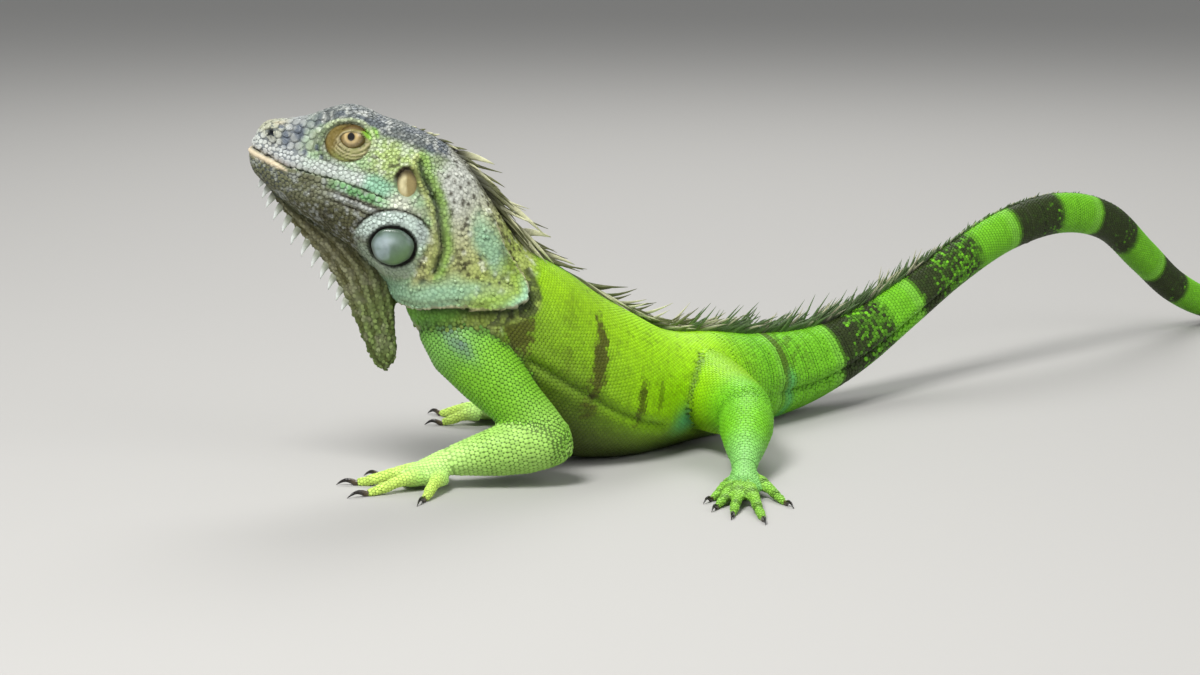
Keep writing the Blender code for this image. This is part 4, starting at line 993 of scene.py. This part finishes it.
def painted(name, grain_size, roughness, bump, coat_weight=0.0):
    """A material that shows the stored paint with grain, a soft gloss and a fine bump."""
    made = bpy.data.materials.new(name)
    made.use_nodes = True
    tree, shader = made.node_tree, shader_of(made).inputs
    stored, grain = node_of(tree, "ShaderNodeVertexColor"), node_of(tree, "ShaderNodeGroup")
    stored.layer_name, grain.node_tree = "coat", GRAIN
    grain.inputs["Size"].default_value = grain_size
    tint = node_of(tree, "ShaderNodeVectorMath", "MULTIPLY")
    gloss = node_of(tree, "ShaderNodeMapRange", To_Min=roughness - 0.1, To_Max=roughness + 0.14)
    raised = node_of(tree, "ShaderNodeBump", Strength=bump, Distance=0.0004)
    for start, end in ((stored.outputs["Color"], tint.inputs[0]),
                       (grain.outputs["Shade"], tint.inputs[1]),
                       (tint.outputs["Vector"], shader["Base Color"]),
                       (grain.outputs["Height"], gloss.inputs["Value"]),
                       (gloss.outputs["Result"], shader["Roughness"]),
                       (grain.outputs["Height"], raised.inputs["Height"]),
                       (raised.outputs["Normal"], shader["Normal"])):
        tree.links.new(start, end)
    shader["Coat Weight"].default_value = coat_weight
    shader["Specular IOR Level"].default_value = 0.25 if roughness > 0.36 else 0.5
    return made


def show(mesh, material, name=None):
    """A finished piece at the origin, riding on the body."""
    piece = placed(name or mesh.name, mesh)
    mesh.materials.clear()
    mesh.materials.append(material)
    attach(piece, "root")
    return piece


skin = show(hide_mesh, painted("hide", 260.0, 0.6, 0.5), "skin")
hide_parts(*[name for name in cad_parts
                    if not name.startswith(("claw", "eye", "ear", "shield"))])


# ============================== coat: where every scale sits =================
# Small keeled scales in crosswise rows on the trunk, rings of them on the tail,
# a net of larger ones on the limbs, flat plates on the head.  First the places.
coat = {key: [] for key in ("place", "normal", "lie", "region", "number", "share", "size", "flat")}
hide_faces = np.array([list(f.vertices)[:4] + [f.vertices[0]] * (4 - len(f.vertices))
                       for f in hide_mesh.polygons])


def keep_roots(spots, corners, sizes):
    """Note each scale's root, the way out of the hide there and the way it lies."""
    weights = 1.0 / (((hide_places[corners] - spots[:, None]) ** 2).sum(2) + 0.02)
    weights = (weights / weights.sum(1, keepdims=True))[..., None]
    place, normal, lie = [(field[corners] * weights).sum(1)
                          for field in (hide_move, folded_normals, hide_lie)]
    normal = unit(normal)
    lie = unit(lie - normal * (lie * normal).sum(1, keepdims=True))
    for key, value in zip(coat, (settle(spots + place), normal, lie, *known(spots)[:3], sizes, spots)):
        coat[key].append(value)


def rows_of_scales(part, start, stop, count, step):
    """Rows across a length of hide, every second one shifted by half a scale."""
    rings, length = part["rings"], part["length"]
    first, last = np.interp([start, stop], part["numbers"], length)
    rows = np.arange(first, last, step)
    shares = (np.arange(count) + 0.5 * (np.arange(len(rows)) % 2)[:, None] + 0.5) / count
    numbers = np.interp(rows, length, part["numbers"]).repeat(count)
    row = np.clip(np.interp(numbers, part["numbers"], np.arange(len(rings))), 0, len(rings) - 1.001)
    flat = between(closed(rings), row, (shares.reshape(-1) % 1.0) * rings.shape[1])
    sizes = np.maximum(np.interp(numbers, part["numbers"], part["girth"]) / count, step) * 1.02
    # carried from the plain body onto the hide, where they fit there
    found = [flat_hide.find_nearest(Vector(place), 1.8) for place in flat]
    kept = [i for i, hit in enumerate(found) if hit[0] is not None
            and hide_region[hide_faces[hit[2], 0]] == part["region"]]
    if kept:
        keep_roots(np.array([found[i][0] for i in kept]), hide_faces[[found[i][2] for i in kept]],
                   sizes[kept])


trunk, thin_tail = parts[:2]
rows_of_scales(trunk, NECK_END, RINGS_START, 118, 1.42)
# the tail's scales stand in rings of four rows
travel = length_at(RINGS_START)
while travel < LINE_LENGTH[-1] - 3.0:
    here = number_at(travel)
    girth = np.interp(here, SHARE_NUMBERS, GIRTH)
    size = np.clip(girth / 44.0, 0.9, 1.75)
    step = size * 1.2
    there = number_at(travel + 4.0 * step - 0.01)
    rows_of_scales(trunk if there < MELT_END - 0.1 else thin_tail, here, there,
                   int(girth / size / 2.0) * 2, step)
    travel += 4.0 * step
for part in parts[3:]:
    # blocks of five rows, with as many scales round as the limb has room for there
    numbers, length = part["numbers"], part["length"]
    size = np.select([numbers[0] < 0.5, numbers[0] < 1.5, numbers[0] < 2.5], [1.7, 1.95, 1.6], 1.5)
    size = min(size, 1.75) if part["region"] >= LEG_LEFT else size
    step = length[-1] / max(1, round(length[-1] / (0.92 * size)))
    for start in np.arange(0.0, length[-1] - 0.5 * step, 5.0 * step):
        stop = min(start + 5.0 * step, length[-1]) - 0.01
        here, there = np.interp([start, stop], length, numbers)
        around = np.interp((start + stop) / 2.0, length, part["girth"])
        rows_of_scales(part, here, there, max(4, int(around / size)), step)


def room_for(flat, region, number):
    """How far apart scales stand where they are not in rows."""
    behind, above = head_axes(flat)
    return np.select(
        [(region != BODY) & (region != DEWLAP) & (number > 3.0),
         (region != BODY) & (region != DEWLAP) & (number > 2.0), region >= ARM_LEFT,
         (region == DEWLAP) | (number >= 10.1), oval(flat, *SHEATH) < 1.25,
         (behind > 44.0) & (above < 0.0), (behind > 40.0) & (above > 4.0),
         (behind < 24.0) & (above > 6.0), above > crown_at(behind, 32.0) - 6.0],
        [1.45, 1.6, 1.8, 1.3, 1.3, 1.45, 1.45, 2.9, 2.1], 1.6)


def on_head(points, side):
    """Where the hide is met on the side of the head at (distance, height)."""
    starts = [SNOUT + behind * HEAD_BACK + above * HEAD_UP + np.array([0.0, -40.0 * side, 0.0])
              for behind, above in points]
    hits = [flat_hide.ray_cast(Vector(start), Vector((0.0, side, 0.0)), 60.0) for start in starts]
    return [hit for hit in hits if hit[0] is not None]


# plates along both lips and round the cheek shield
upper = np.arange(1.0, 57.0, 2.5)
for points, size in (
        ([(a, lips_at(a) + 1.6) for a in upper], 2.6),
        ([(a + 1.2, lips_at(a) - 1.55) for a in upper if a > 17.0], 2.6),
        ([(SHIELD[0][0] + 12.6 * math.cos(t), SHIELD[0][1] + 12.6 * math.sin(t))
          for t in np.radians(np.arange(20.0, 200.0, 19.0))], 3.7)):
    for side in SIDES.values():
        hits = on_head(points, side)
        keep_roots(np.array([hit[0] for hit in hits]), hide_faces[[hit[2] for hit in hits]],
                   np.full(len(hits), size))

# fill whatever is still bare
TRIES, CLOSER, CELL = 190000, 0.87, 3.0
corners = hide_faces[chance.integers(0, len(hide_faces), TRIES)]
weights = chance.dirichlet((1.0, 1.0, 1.0, 1.0), len(corners))
flat = (hide_places[corners] * weights[..., None]).sum(1)
room = room_for(flat, hide_region[corners[:, 0]], hide_number[corners[:, 0]]) * CLOSER
cells, chosen = {}, []


def cell_of(place):
    """The cell of a coarse lattice that a place lies in."""
    return tuple((place // CELL).astype(int))


for place in np.concatenate(coat["flat"]):
    cells.setdefault(cell_of(place), []).append(place)
for i, place in enumerate(flat):
    x, y, z = cell_of(place)
    near = [p for dx in (-1, 0, 1) for dy in (-1, 0, 1) for dz in (-1, 0, 1)
            for p in cells.get((x + dx, y + dy, z + dz), ())]
    if not near or ((np.array(near) - place) ** 2).sum(1).min() > room[i] ** 2:
        chosen.append(i)
        cells.setdefault((x, y, z), []).append(place)
keep_roots(flat[chosen], corners[chosen], room[chosen] / CLOSER)
coat = {key: np.concatenate(value) for key, value in coat.items()}

# nothing grows in the eye, ear, nostril, lips or under the cheek shield and the fold
flat = coat["flat"]
behind, above = head_axes(flat)
lips = above - lips_at(behind)
bare = ((oval(flat, *SHEATH) < 1.0) | (oval(flat, *NOSTRIL) < 1.25) | (oval(flat, *EAR) < 1.08)
        | (oval(flat, *SHIELD) < 1.2) | ((np.abs(lips) < 0.55) & (behind < 57.0))
        | ((lips < -0.4) & (lips > -2.7) & (behind < 17.0))) & (coat["number"] < FACE_END)
gap, front = fold_gap(flat, coat["normal"], coat["share"], SHOULDER_FOLD)
bare |= (gap < 0.9) & front & (coat["number"] > 11.0) & (coat["number"] < 12.6)
coat = {key: value[~(bare & (coat["region"] == BODY))] for key, value in coat.items()}


# ============================== coat: the scales =============================
# Each scale is a low horny plate.  Its outline is cut so that it meets its
# neighbours along narrow gaps, and its rear edge lifts over the next one.
def plate_shape(corners, domed):
    """One scale: a disc raised from the hide, its rim rounded, its middle poked up."""
    work = bmesh.new()
    bmesh.ops.create_circle(work, cap_ends=True, segments=corners, radius=1.0)
    raised = bmesh.ops.extrude_face_region(work, geom=list(work.faces))["geom"]
    rim = [item for item in raised if isinstance(item, bmesh.types.BMVert)]
    bmesh.ops.translate(work, verts=rim, vec=(0.0, 0.0, 0.5))
    top = [item for item in raised if isinstance(item, bmesh.types.BMFace)]
    if domed:
        bmesh.ops.inset_region(work, faces=top, thickness=0.36, depth=0.36)
    bmesh.ops.poke(work, faces=top)
    max(work.verts, key=lambda vert: -vert.co.xy.length).co.z = 1.0
    bmesh.ops.recalc_face_normals(work, faces=work.faces)
    work.verts.index_update()
    places = np.array([vert.co for vert in work.verts])
    faces = [[vert.index for vert in face.verts] for face in work.faces]
    work.free()
    return places, faces


def copies(name, places, faces, uv, colours):
    """One mesh that holds a shape many times over, with its paint and its unwrap."""
    count, corners = places.shape[:2]
    mesh = bpy.data.meshes.new(name)
    loop = np.concatenate(faces)
    starts = np.concatenate([[0], np.cumsum([len(face) for face in faces])[:-1]])
    mesh.vertices.add(count * corners)
    mesh.vertices.foreach_set("co", (settle(places.reshape(-1, 3)) * MM).reshape(-1))
    mesh.loops.add(count * len(loop))
    shift = np.arange(count)[:, None]
    mesh.loops.foreach_set("vertex_index", (loop + shift * corners).reshape(-1).astype(np.int32))
    mesh.polygons.add(count * len(faces))
    mesh.polygons.foreach_set("loop_start", (starts + shift * len(loop)).reshape(-1).astype(np.int32))
    mesh.update(calc_edges=True)
    mesh.uv_layers.new(name="OFBake").data.foreach_set("uv", uv[:, loop].reshape(-1))
    give_colour(mesh, colours.reshape(-1, 3))
    return mesh


WIDEST = {6: 0.76, 10: 0.95}  # the farthest a scale of 6 or 10 corners may spread


def cut_outlines(place, lie, across, size, corners):
    """How far each scale may reach in each direction before it meets its neighbours."""
    finder = tree_of(place)
    near = np.array([[hit[1] for hit in finder.find_n(spot, 10)][1:] for spot in place])
    away = place[near] - place[:, None]
    x, y = (away * lie[:, None]).sum(2), (away * across[:, None]).sum(2)
    turns = TURN * np.arange(corners) / corners
    toward = x[..., None] * np.cos(turns) + y[..., None] * np.sin(turns)
    half = (x**2 + y**2)[..., None] / 2.0
    reach = np.where(toward > 1e-3, half / np.maximum(toward, 1e-3), 1e3).min(1)
    return np.minimum(reach, WIDEST[corners] * size[:, None])


coat["across"] = np.cross(coat["normal"], coat["lie"])
coat_paint = coat_colour(*[coat[key] for key in ("flat", "normal", "region", "number", "share")])
tone = 1.06 * (0.92 + 0.16 * chance.random(len(coat_paint)))
coat_paint *= tone[:, None]
outlines_of = {corners: cut_outlines(*[coat[key] for key in ("place", "lie", "across", "size")], corners)
               for corners in WIDEST}
plate_horn = painted("head_plates", 600.0, 0.46, 0.35, 0.08)
scale_horn = painted("body_scales", 420.0, 0.5, 0.25, 0.05)
region, number, share, size = [coat[key] for key in ("region", "number", "share", "size")]
heights = np.select([region >= ARM_LEFT, region == DEWLAP, number < NECK_END], [0.22, 0.16, 0.13], 0.24)
# some scales of the neck stand up as small knobs
knobs = (region == BODY) & (number > 9.9) & (number < 12.1) & (chance.random(len(size)) < 0.06)
heights = np.where(knobs, 1.0, heights * size)
limbs = (0.01 + 0.98 * (number + 0.2) / 4.4, (region - ARM_LEFT + 0.02 + 0.96 * share) / 4.0)


def along(low, high):
    """An unwrap of a length of the body: along it and round it."""
    return 0.01 + 0.98 * (number - low) / (high - low), 0.01 + 0.98 * share


def scales(name, pick, overlap, gap, unwrap, marked=False, corners=6, height=None):
    """A piece of coat: every picked scale, raised, tilted and painted; domed ones have heights."""
    domed = height is not None
    shape, faces = plate_shape(corners, domed)
    place, normal, lie, across, flat, its_size = [
        coat[key][pick][:, None] for key in ("place", "normal", "lie", "across", "flat", "size")]
    radius, turn = np.hypot(shape[:, 0], shape[:, 1]), np.arctan2(shape[:, 1], shape[:, 0])
    corner = np.round(turn / TURN * corners).astype(int) % corners
    rear = np.cos(turn) * (radius > 0.01)
    reach = np.maximum((outlines_of[corners][pick] - gap)[:, corner], 0.12)
    out = reach * radius * (1.0 + overlap * np.maximum(rear, 0.0))
    x, y = out * np.cos(turn) + (radius < 0.01) * its_size * 0.12, out * np.sin(turn)
    high = (height if domed else heights)[pick][:, None]
    level = np.where(shape[:, 2] < 0.1, -0.5, shape[:, 2] * high * (0.8 + 0.35 * rear))
    spread = lie * x[..., None] + across * y[..., None]
    # each scale painted darker towards its base, painted shade between the scales, and a little lighter on
    # its top, a painted highlight
    shade = np.interp(shape[:, 2], [0.0, 0.5, 0.86, 1.0], [0.75 if marked else 0.6, 0.94, 1.04, 1.08])
    colours = coat_paint[pick][:, None] * shade[:, None]
    if marked:
        # the finer markings run across the plates
        many = spread.shape[:2]
        fields = [np.broadcast_to(field[pick][:, None], many).reshape(-1)
                  for field in (region, number, share)]
        ways = np.broadcast_to(normal, spread.shape).reshape(-1, 3)
        marks = coat_colour((flat + spread).reshape(-1, 3), ways, *fields).reshape(*many, 3)
        colours = marks * (tone[pick][:, None] * shade)[..., None]
    uv = np.stack(unwrap, -1)[pick][:, None] + 0.0015 * shape[:, :2]
    mesh = copies(name, place + spread + normal * level[..., None], faces, np.clip(uv, 0.0005, 0.9995),
                  colours)
    mesh.shade_smooth() if domed else mesh.shade_flat()
    show(mesh, plate_horn if domed else scale_horn)


head = (region == BODY) & (number < HEAD_END)
scales("head_plates", head & (size > 1.7), 0.0, 0.05, along(-0.2, 10.2), True, 10,
       np.clip(0.12 * size, 0.16, 0.34))
scales("head_granules", head & (size <= 1.7), 0.0, 0.04, along(-0.2, 10.2), True, 6,
       0.15 * size)
TAIL_FRONT_END, TAIL_REAR_END = 20.5, 26.0
for name, low, high, overlap, gap, slot, ends, marked in (
        ("neck_scales", HEAD_END, NECK_END, 0.1, 0.04, "skin_head", (9.9, 12.5), True),
        ("chest_scales", NECK_END, CHEST_END, 0.35, 0.05, "skin_body", (12.3, 14.1), True),
        ("belly_scales", CHEST_END, TRUNK_END, 0.35, 0.05, "skin_body", (13.9, 17.0), True),
        ("tail_front_scales", TRUNK_END, TAIL_FRONT_END, 0.4, 0.05, "skin_tail", (16.8, 20.6), False),
        ("tail_rear_scales", TAIL_FRONT_END, TAIL_REAR_END, 0.4, 0.05, "skin_tail", (20.4, 26.1), False),
        ("tail_end_scales", TAIL_REAR_END, LAST + 1, 0.4, 0.05, "skin_tail", (25.9, 33.1), False)):
    scales(name, (region == BODY) & (number >= low) & (number < high), overlap, gap, along(*ends),
           marked)
scales("throat_scales", region == DEWLAP, 0.2, 0.08, along(-0.1, 8.1))
digits = number >= 2.9
arms = (region >= ARM_LEFT) & (region < LEG_LEFT)
scales("arm_scales", arms & ~digits, 0.15, 0.13, limbs)
scales("leg_scales", (region >= LEG_LEFT) & ~digits, 0.25, 0.06, limbs)
scales("finger_scales", (region >= ARM_LEFT) & digits, 0.3, 0.08, limbs)


# ============================== crest and throat spines ======================
# Soft horny blades.  Those of the crest are long and lie back over the nape,
# short and close on the back, and stand up like a saw along the tail.
def blade(root, way, bend, across, long, deep, thick, sides=10):
    """One curved blade: rings that taper along a path which leans over as it goes."""
    stops = np.linspace(-0.18, 1.0, 7)
    path = root + long * (way * stops[:, None] + bend * np.clip(stops, 0.0, 1.0)[:, None] ** 2)
    taper = np.interp(stops, [-0.18, 0.1, 0.55, 0.85, 1.0], [1.0, 0.92, 0.55, 0.26, 0.06])
    flat_way = unit(np.cross(unit(np.gradient(path, axis=0)), across))
    return rings_round(path, (flat_way[:, None], across), deep * taper, thick * taper,
                       TURN * np.arange(sides) / sides)


def set_of_blades(name, blades, paints):
    """Many blades in one piece, painted from root to tip."""
    work = bmesh.new()
    colours, unwrap, abreast = [], [], math.ceil(math.sqrt(len(blades)))
    for i, (rings, (root_paint, tip_paint)) in enumerate(zip(blades, paints)):
        one = tube(rings)
        one.to_mesh(spare)
        one.free()
        work.from_mesh(spare)
        spots = read(spare)
        far = np.linalg.norm(spots - rings[0].mean(0), axis=1)
        share = far / far.max()
        colours.append(lay(root_paint, (tip_paint, soft(0.15, 0.75, share))))
        # each blade has a square of its own on the unwrap, from its root up
        nearest = ((spots[:, None] - rings.reshape(1, -1, 3)) ** 2).sum(2).argmin(1)
        turn = TURN * (nearest % rings.shape[1]) / rings.shape[1]
        square = np.stack([0.5 + 0.4 * np.cos(turn), 0.1 + 0.8 * share + 0.03 * np.sin(turn)], 1)
        unwrap.append((square + [i % abreast, i // abreast]) / abreast)
    mesh = mesh_of(work, name)
    corners = np.empty(len(mesh.loops), dtype=np.int32)
    mesh.loops.foreach_get("vertex_index", corners)
    mesh.uv_layers.new(name="OFBake").data.foreach_set("uv", np.concatenate(unwrap)[corners].reshape(-1))
    give_colour(mesh, np.concatenate(colours))
    mesh.shade_smooth()
    show(mesh, blade_horn)


blade_horn = painted("blade_horn", 300.0, 0.42, 0.3, 0.1)
ROOT_DEPTH = -0.9             # blades of the crest start under the hide
# row number, blade length, how far it stands up from the back in degrees
CREST = np.array([(9.2, 2.4, 50.0), (9.6, 3.4, 48.0), (10.0, 8.0, 38.0), (10.3, 16.0, 22.0),
                  (11.0, 20.0, 14.0), (12.2, 20.0, 12.0), (13.4, 19.0, 12.0), (14.6, 16.0, 15.0),
                  (15.3, 14.0, 26.0), (15.8, 14.0, 34.0), (16.5, 13.5, 34.0), (18.5, 12.5, 38.0),
                  (20.0, 9.0, 42.0), (20.8, 4.5, 46.0), (22.5, 2.2, 50.0), (24.0, 1.2, 45.0)])
BACK_END = 15.5               # behind this row the crest is darker
blades, paints = [], []
# three files of blades: how close they stand, how far beside the middle, where they end
FILES = ((1.7, 0.0, CREST[-1, 0]), (2.0, 0.8, 20.6), (2.0, -0.8, 20.6))
for layer, (step, lower, last) in enumerate(FILES):
    travel = length_at(CREST[0, 0]) + 0.7 * layer
    while travel < length_at(last):
        here = float(number_at(travel))
        travel += step * (0.7 + 0.6 * chance.random()) * (0.75 if here > 15.0 else 1.0)
        if layer and here < 10.1:
            continue
        long, stand = [float(np.interp(here, CREST[:, 0], column)) for column in CREST.T[1:]]
        long *= 0.7 + 0.45 * chance.random()
        stand = math.radians(stand * (0.45 + (0.45 if 10.4 < here < 15.1 else 0.75) * chance.random()))
        rearward, side, up = line_at(here)[3:12].reshape(3, 3)
        root = (body_points(here, math.pi / 2, ROOT_DEPTH)
                + side * (lower + chance.normal(0.0, 0.3)) * min(1.0, long / 9.0))
        way = unit(up * math.sin(stand) + rearward * math.cos(stand)
                   + side * (0.07 * lower + chance.normal(0.0, 0.07)))
        bend = (rearward - up * 0.3) * (0.1 + 0.3 * chance.random()) + side * chance.normal(0.0, 0.07)
        bend = bend + (up * 0.4 if chance.random() < 0.1 else -up * 0.05)
        deep = min(0.75 + 0.025 * long, 0.35 + 0.16 * long)
        blades.append(blade(root, way, bend, side, long, deep, 0.4 + 0.01 * long, 8))
        ground = body_colour(np.array([root]), np.array([here]), np.array([0.0]))[0]
        dark, pale_share, pale, plain = ((0.5, 0.45, 0.85, paint(0.40, 0.41, 0.27)) if here < BACK_END
                                         else (0.3, 0.25, 0.6, paint(0.34, 0.43, 0.26)))
        paints.append((ground * 0.25 + SOOT * dark,
                       CREAM * pale if chance.random() < pale_share else plain))
# a few great pale spines stand clear of the nape
for here, long, stand, deep in ((10.12, 11.0, 44.0, 2.3), (10.7, 25.0, 22.0, 2.2),
                                (11.3, 24.0, 18.0, 2.0), (11.8, 13.0, 75.0, 2.7), (12.3, 14.0, 45.0, 1.8)):
    rearward, side, up = line_at(here)[3:12].reshape(3, 3)
    rise, run = math.sin(math.radians(stand)), math.cos(math.radians(stand))
    blades.append(blade(body_points(here, math.pi / 2, ROOT_DEPTH), unit(up * rise + rearward * run),
                        rearward * (0.2 + 0.5 * rise) - up * 0.12, side, long, deep, 0.85))
    paints.append((SOOT, CREAM))
set_of_blades("crest", blades, paints)

blades = []
for place in np.linspace(0.1, 4.4, 12):
    inner_x, inner_z, x, z, _ = flap_at(place)
    way = unit(np.array([x - inner_x, 0.0, z - inner_z]))
    way = unit(way + np.array([-0.15, 0.0, -0.45]))
    long = 5.6 * (0.7 + 0.5 * math.sin(math.pi * (place + 0.4) / 5.2))
    blades.append(blade(np.array([x, DEWLAP_Y, z]) - way * 0.8, way, np.array([0.16, 0.0, -0.08]),
                        np.array([0.0, 1.0, 0.0]), long, 1.6, 0.9))
grey_to_white = (paint(0.56, 0.58, 0.50), paint(0.88, 0.90, 0.88))
set_of_blades("throat_spines", blades, [grey_to_white] * len(blades))


# ============================== claws ========================================
# Dark brown horn, curved down to a sharp point, its root hidden by the last
# scales of the toe.
claw_horn = painted("claw_horn", 500.0, 0.3, 0.15, 0.2)
for name, tip, way, thick, long in claw_roots:
    stops = np.linspace(-0.22, 1.0, 14)
    path = tip + way * long * stops[:, None]
    level = tip[2] * (1.0 - stops) + 0.14 * stops + 1.5 * np.sin(math.pi * np.clip(stops, 0.0, 1.0))
    path[:, 2] = np.maximum(level, 0.14)
    size = thick * np.interp(stops, [-0.22, 0.0, 0.35, 0.75, 1.0], [0.66, 0.74, 0.56, 0.3, 0.07])
    rings = rings_along(path, size * 0.8, size * 1.05, 14)
    mesh = mesh_of(tube(settle(rings.reshape(-1, 3)).reshape(rings.shape)), name + "_horn")
    far = (read(mesh) - tip) @ way / long
    give_colour(mesh, lay(paint(0.30, 0.25, 0.16), (paint(0.09, 0.07, 0.05), soft(0.0, 0.45, far))))
    mesh.shade_smooth()
    piece = show(mesh, claw_horn)
    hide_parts(name)


# ============================== eyes =========================================
# A wet ball with a pale gold iris, a dark upright pupil and a brown rim, deep
# between its lids.
def ball_of(rings, steps):
    """A ball of radius one, its corners, how far each is from its axis, and which way."""
    work = bmesh.new()
    bmesh.ops.create_uvsphere(work, u_segments=steps, v_segments=rings, radius=1.0)
    corner = np.array([vert.co for vert in work.verts])
    return work, corner, np.hypot(corner[:, 0], corner[:, 1]), np.arctan2(corner[:, 1], corner[:, 0])


def finish_ball(work, places, colours, name, material, node):
    """A ball whose corners have moved to their places, as a piece of its own."""
    for vert, place in zip(work.verts, places):
        vert.co = place * MM
    bmesh.ops.recalc_face_normals(work, faces=work.faces)
    mesh = mesh_of(work, name)
    give_colour(mesh, colours)
    mesh.shade_smooth()
    piece = show(mesh, material)
    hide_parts(node)


eye_gloss = painted("eye_gloss", 900.0, 0.14, 0.0, 1.0)
for side_name, side in SIDES.items():
    ball, size = EYEBALLS[side]
    work, corner, from_axis, turn = ball_of(120, 96)
    from_pole, front = from_axis * size, corner[:, 2] > 0.0
    out = unit(np.array([-0.08, -side, 0.15]))
    level = unit(np.cross(out, np.array([0.0, 0.0, 1.0])))
    bulge = 1.0 + 0.035 * soft(5.2, 3.0, from_pole) * front
    places = ball + (corner * bulge[:, None] * size) @ np.array([level, np.cross(level, out), out])
    rays = 0.5 + 0.5 * np.sin(turn * 23.0 + 3.0 * np.sin(turn * 7.0) + from_pole)
    pupil = soft(1.75, 1.5, from_pole * (1.0 + 0.16 * np.abs(np.cos(turn))))
    iris = lay(paint(0.60, 0.52, 0.32),
               (paint(0.42, 0.33, 0.16), 0.7 * rays * soft(1.6, 4.4, from_pole)),
               (paint(0.82, 0.72, 0.50), hump(2.2, 0.6, from_pole) * 0.85),
               (paint(0.34, 0.28, 0.13), soft(3.4, 4.6, from_pole)),
               # painted shadow of the upper lid over the top of the iris
               (paint(0.30, 0.22, 0.11), soft(1.0, 2.6, corner[:, 1] * size) * 0.7),
               (paint(0.05, 0.03, 0.02), pupil), (paint(0.20, 0.15, 0.08), ~front))
    finish_ball(work, places, iris, f"eyeball_{side_name}", eye_gloss, f"eye_{side_name}")


# ============================== eardrums and cheek shields ===================
# The eardrum is a thin tan skin stretched over a pit.  The cheek shield is one
# great pearly scale, domed and glossy, in a black rim.
def drum_paint(clouds, from_pole, turn):
    """Tan, paler in the middle, with a brown veil at its upper rim."""
    middle = hump(0.45, 0.35, from_pole) * soft(0.3, -0.5, np.cos(turn))
    return lay(paint(0.56, 0.50, 0.32), (paint(0.84, 0.80, 0.62), middle * 0.9),
               (paint(0.26, 0.22, 0.10), soft(0.35, 0.9, from_pole * (0.75 + 0.35 * np.sin(turn)))))


def pearl_paint(clouds, from_pole, turn):
    """Grey-blue pearl with pale clouds, greener towards its lower rear, with a painted highlight half way
    to its rim towards the upper front.
    """
    return lay(paint(0.38, 0.47, 0.40), (paint(0.55, 0.62, 0.62), soft(0.4, 0.7, clouds)),
               (paint(0.36, 0.50, 0.26), 0.8 * soft(-0.1, 0.8, from_pole * np.cos(turn + 1.0))),
               (paint(0.24, 0.31, 0.24), soft(0.74, 0.97, from_pole) * 0.8),
               # a painted highlight half way to the rim, towards the upper front
               (paint(0.74, 0.80, 0.82), hump(0.45, 0.25, from_pole) * hump(2.0, 0.9, turn) * 0.7))


drum_skin, pearl = painted("drum_skin", 500.0, 0.35, 0.2, 0.2), painted("pearl", 350.0, 0.34, 0.15, 0.25)
for side_name, side in SIDES.items():
    for kind, middle, sizes, lift, paint_of, material, slot in (
            ("ear", EAR[0], (4.5, 6.2, 0.8), -1.3, drum_paint, drum_skin, "eardrum"),
            ("shield", SHIELD[0], (*SHIELD[1], 2.4), -0.5, pearl_paint, pearl, "shield")):
        # a domed disc that lies on the side of the head
        place, normal = on_head([middle], side)[0][:2]
        out = unit(np.array(normal) + np.array([0.0, -0.8 * side, 0.0]))
        back = unit(HEAD_BACK - out * (HEAD_BACK @ out))
        up = np.cross(out, back) * side
        back, up = back * SLOPE + up * FALL, up * SLOPE - back * FALL
        work, corner, from_pole, turn = ball_of(40, 72)
        wave = 1.0 + 0.02 * np.sin(3.0 * turn + 1.0) + 0.012 * np.sin(7.0 * turn)
        dome = np.sign(corner[:, 2]) * np.abs(corner[:, 2]) ** 0.8
        shape = np.stack([corner[:, 0] * wave, corner[:, 1] * wave, dome], 1) * sizes
        places = np.array(place) + out * lift + shape @ np.array([back, up, out])
        node = f"{kind}_{side_name}"
        colours = paint_of(mottle(places, 3.2), from_pole, turn)
        finish_ball(work, places, colours, node + "_cover", material, node)
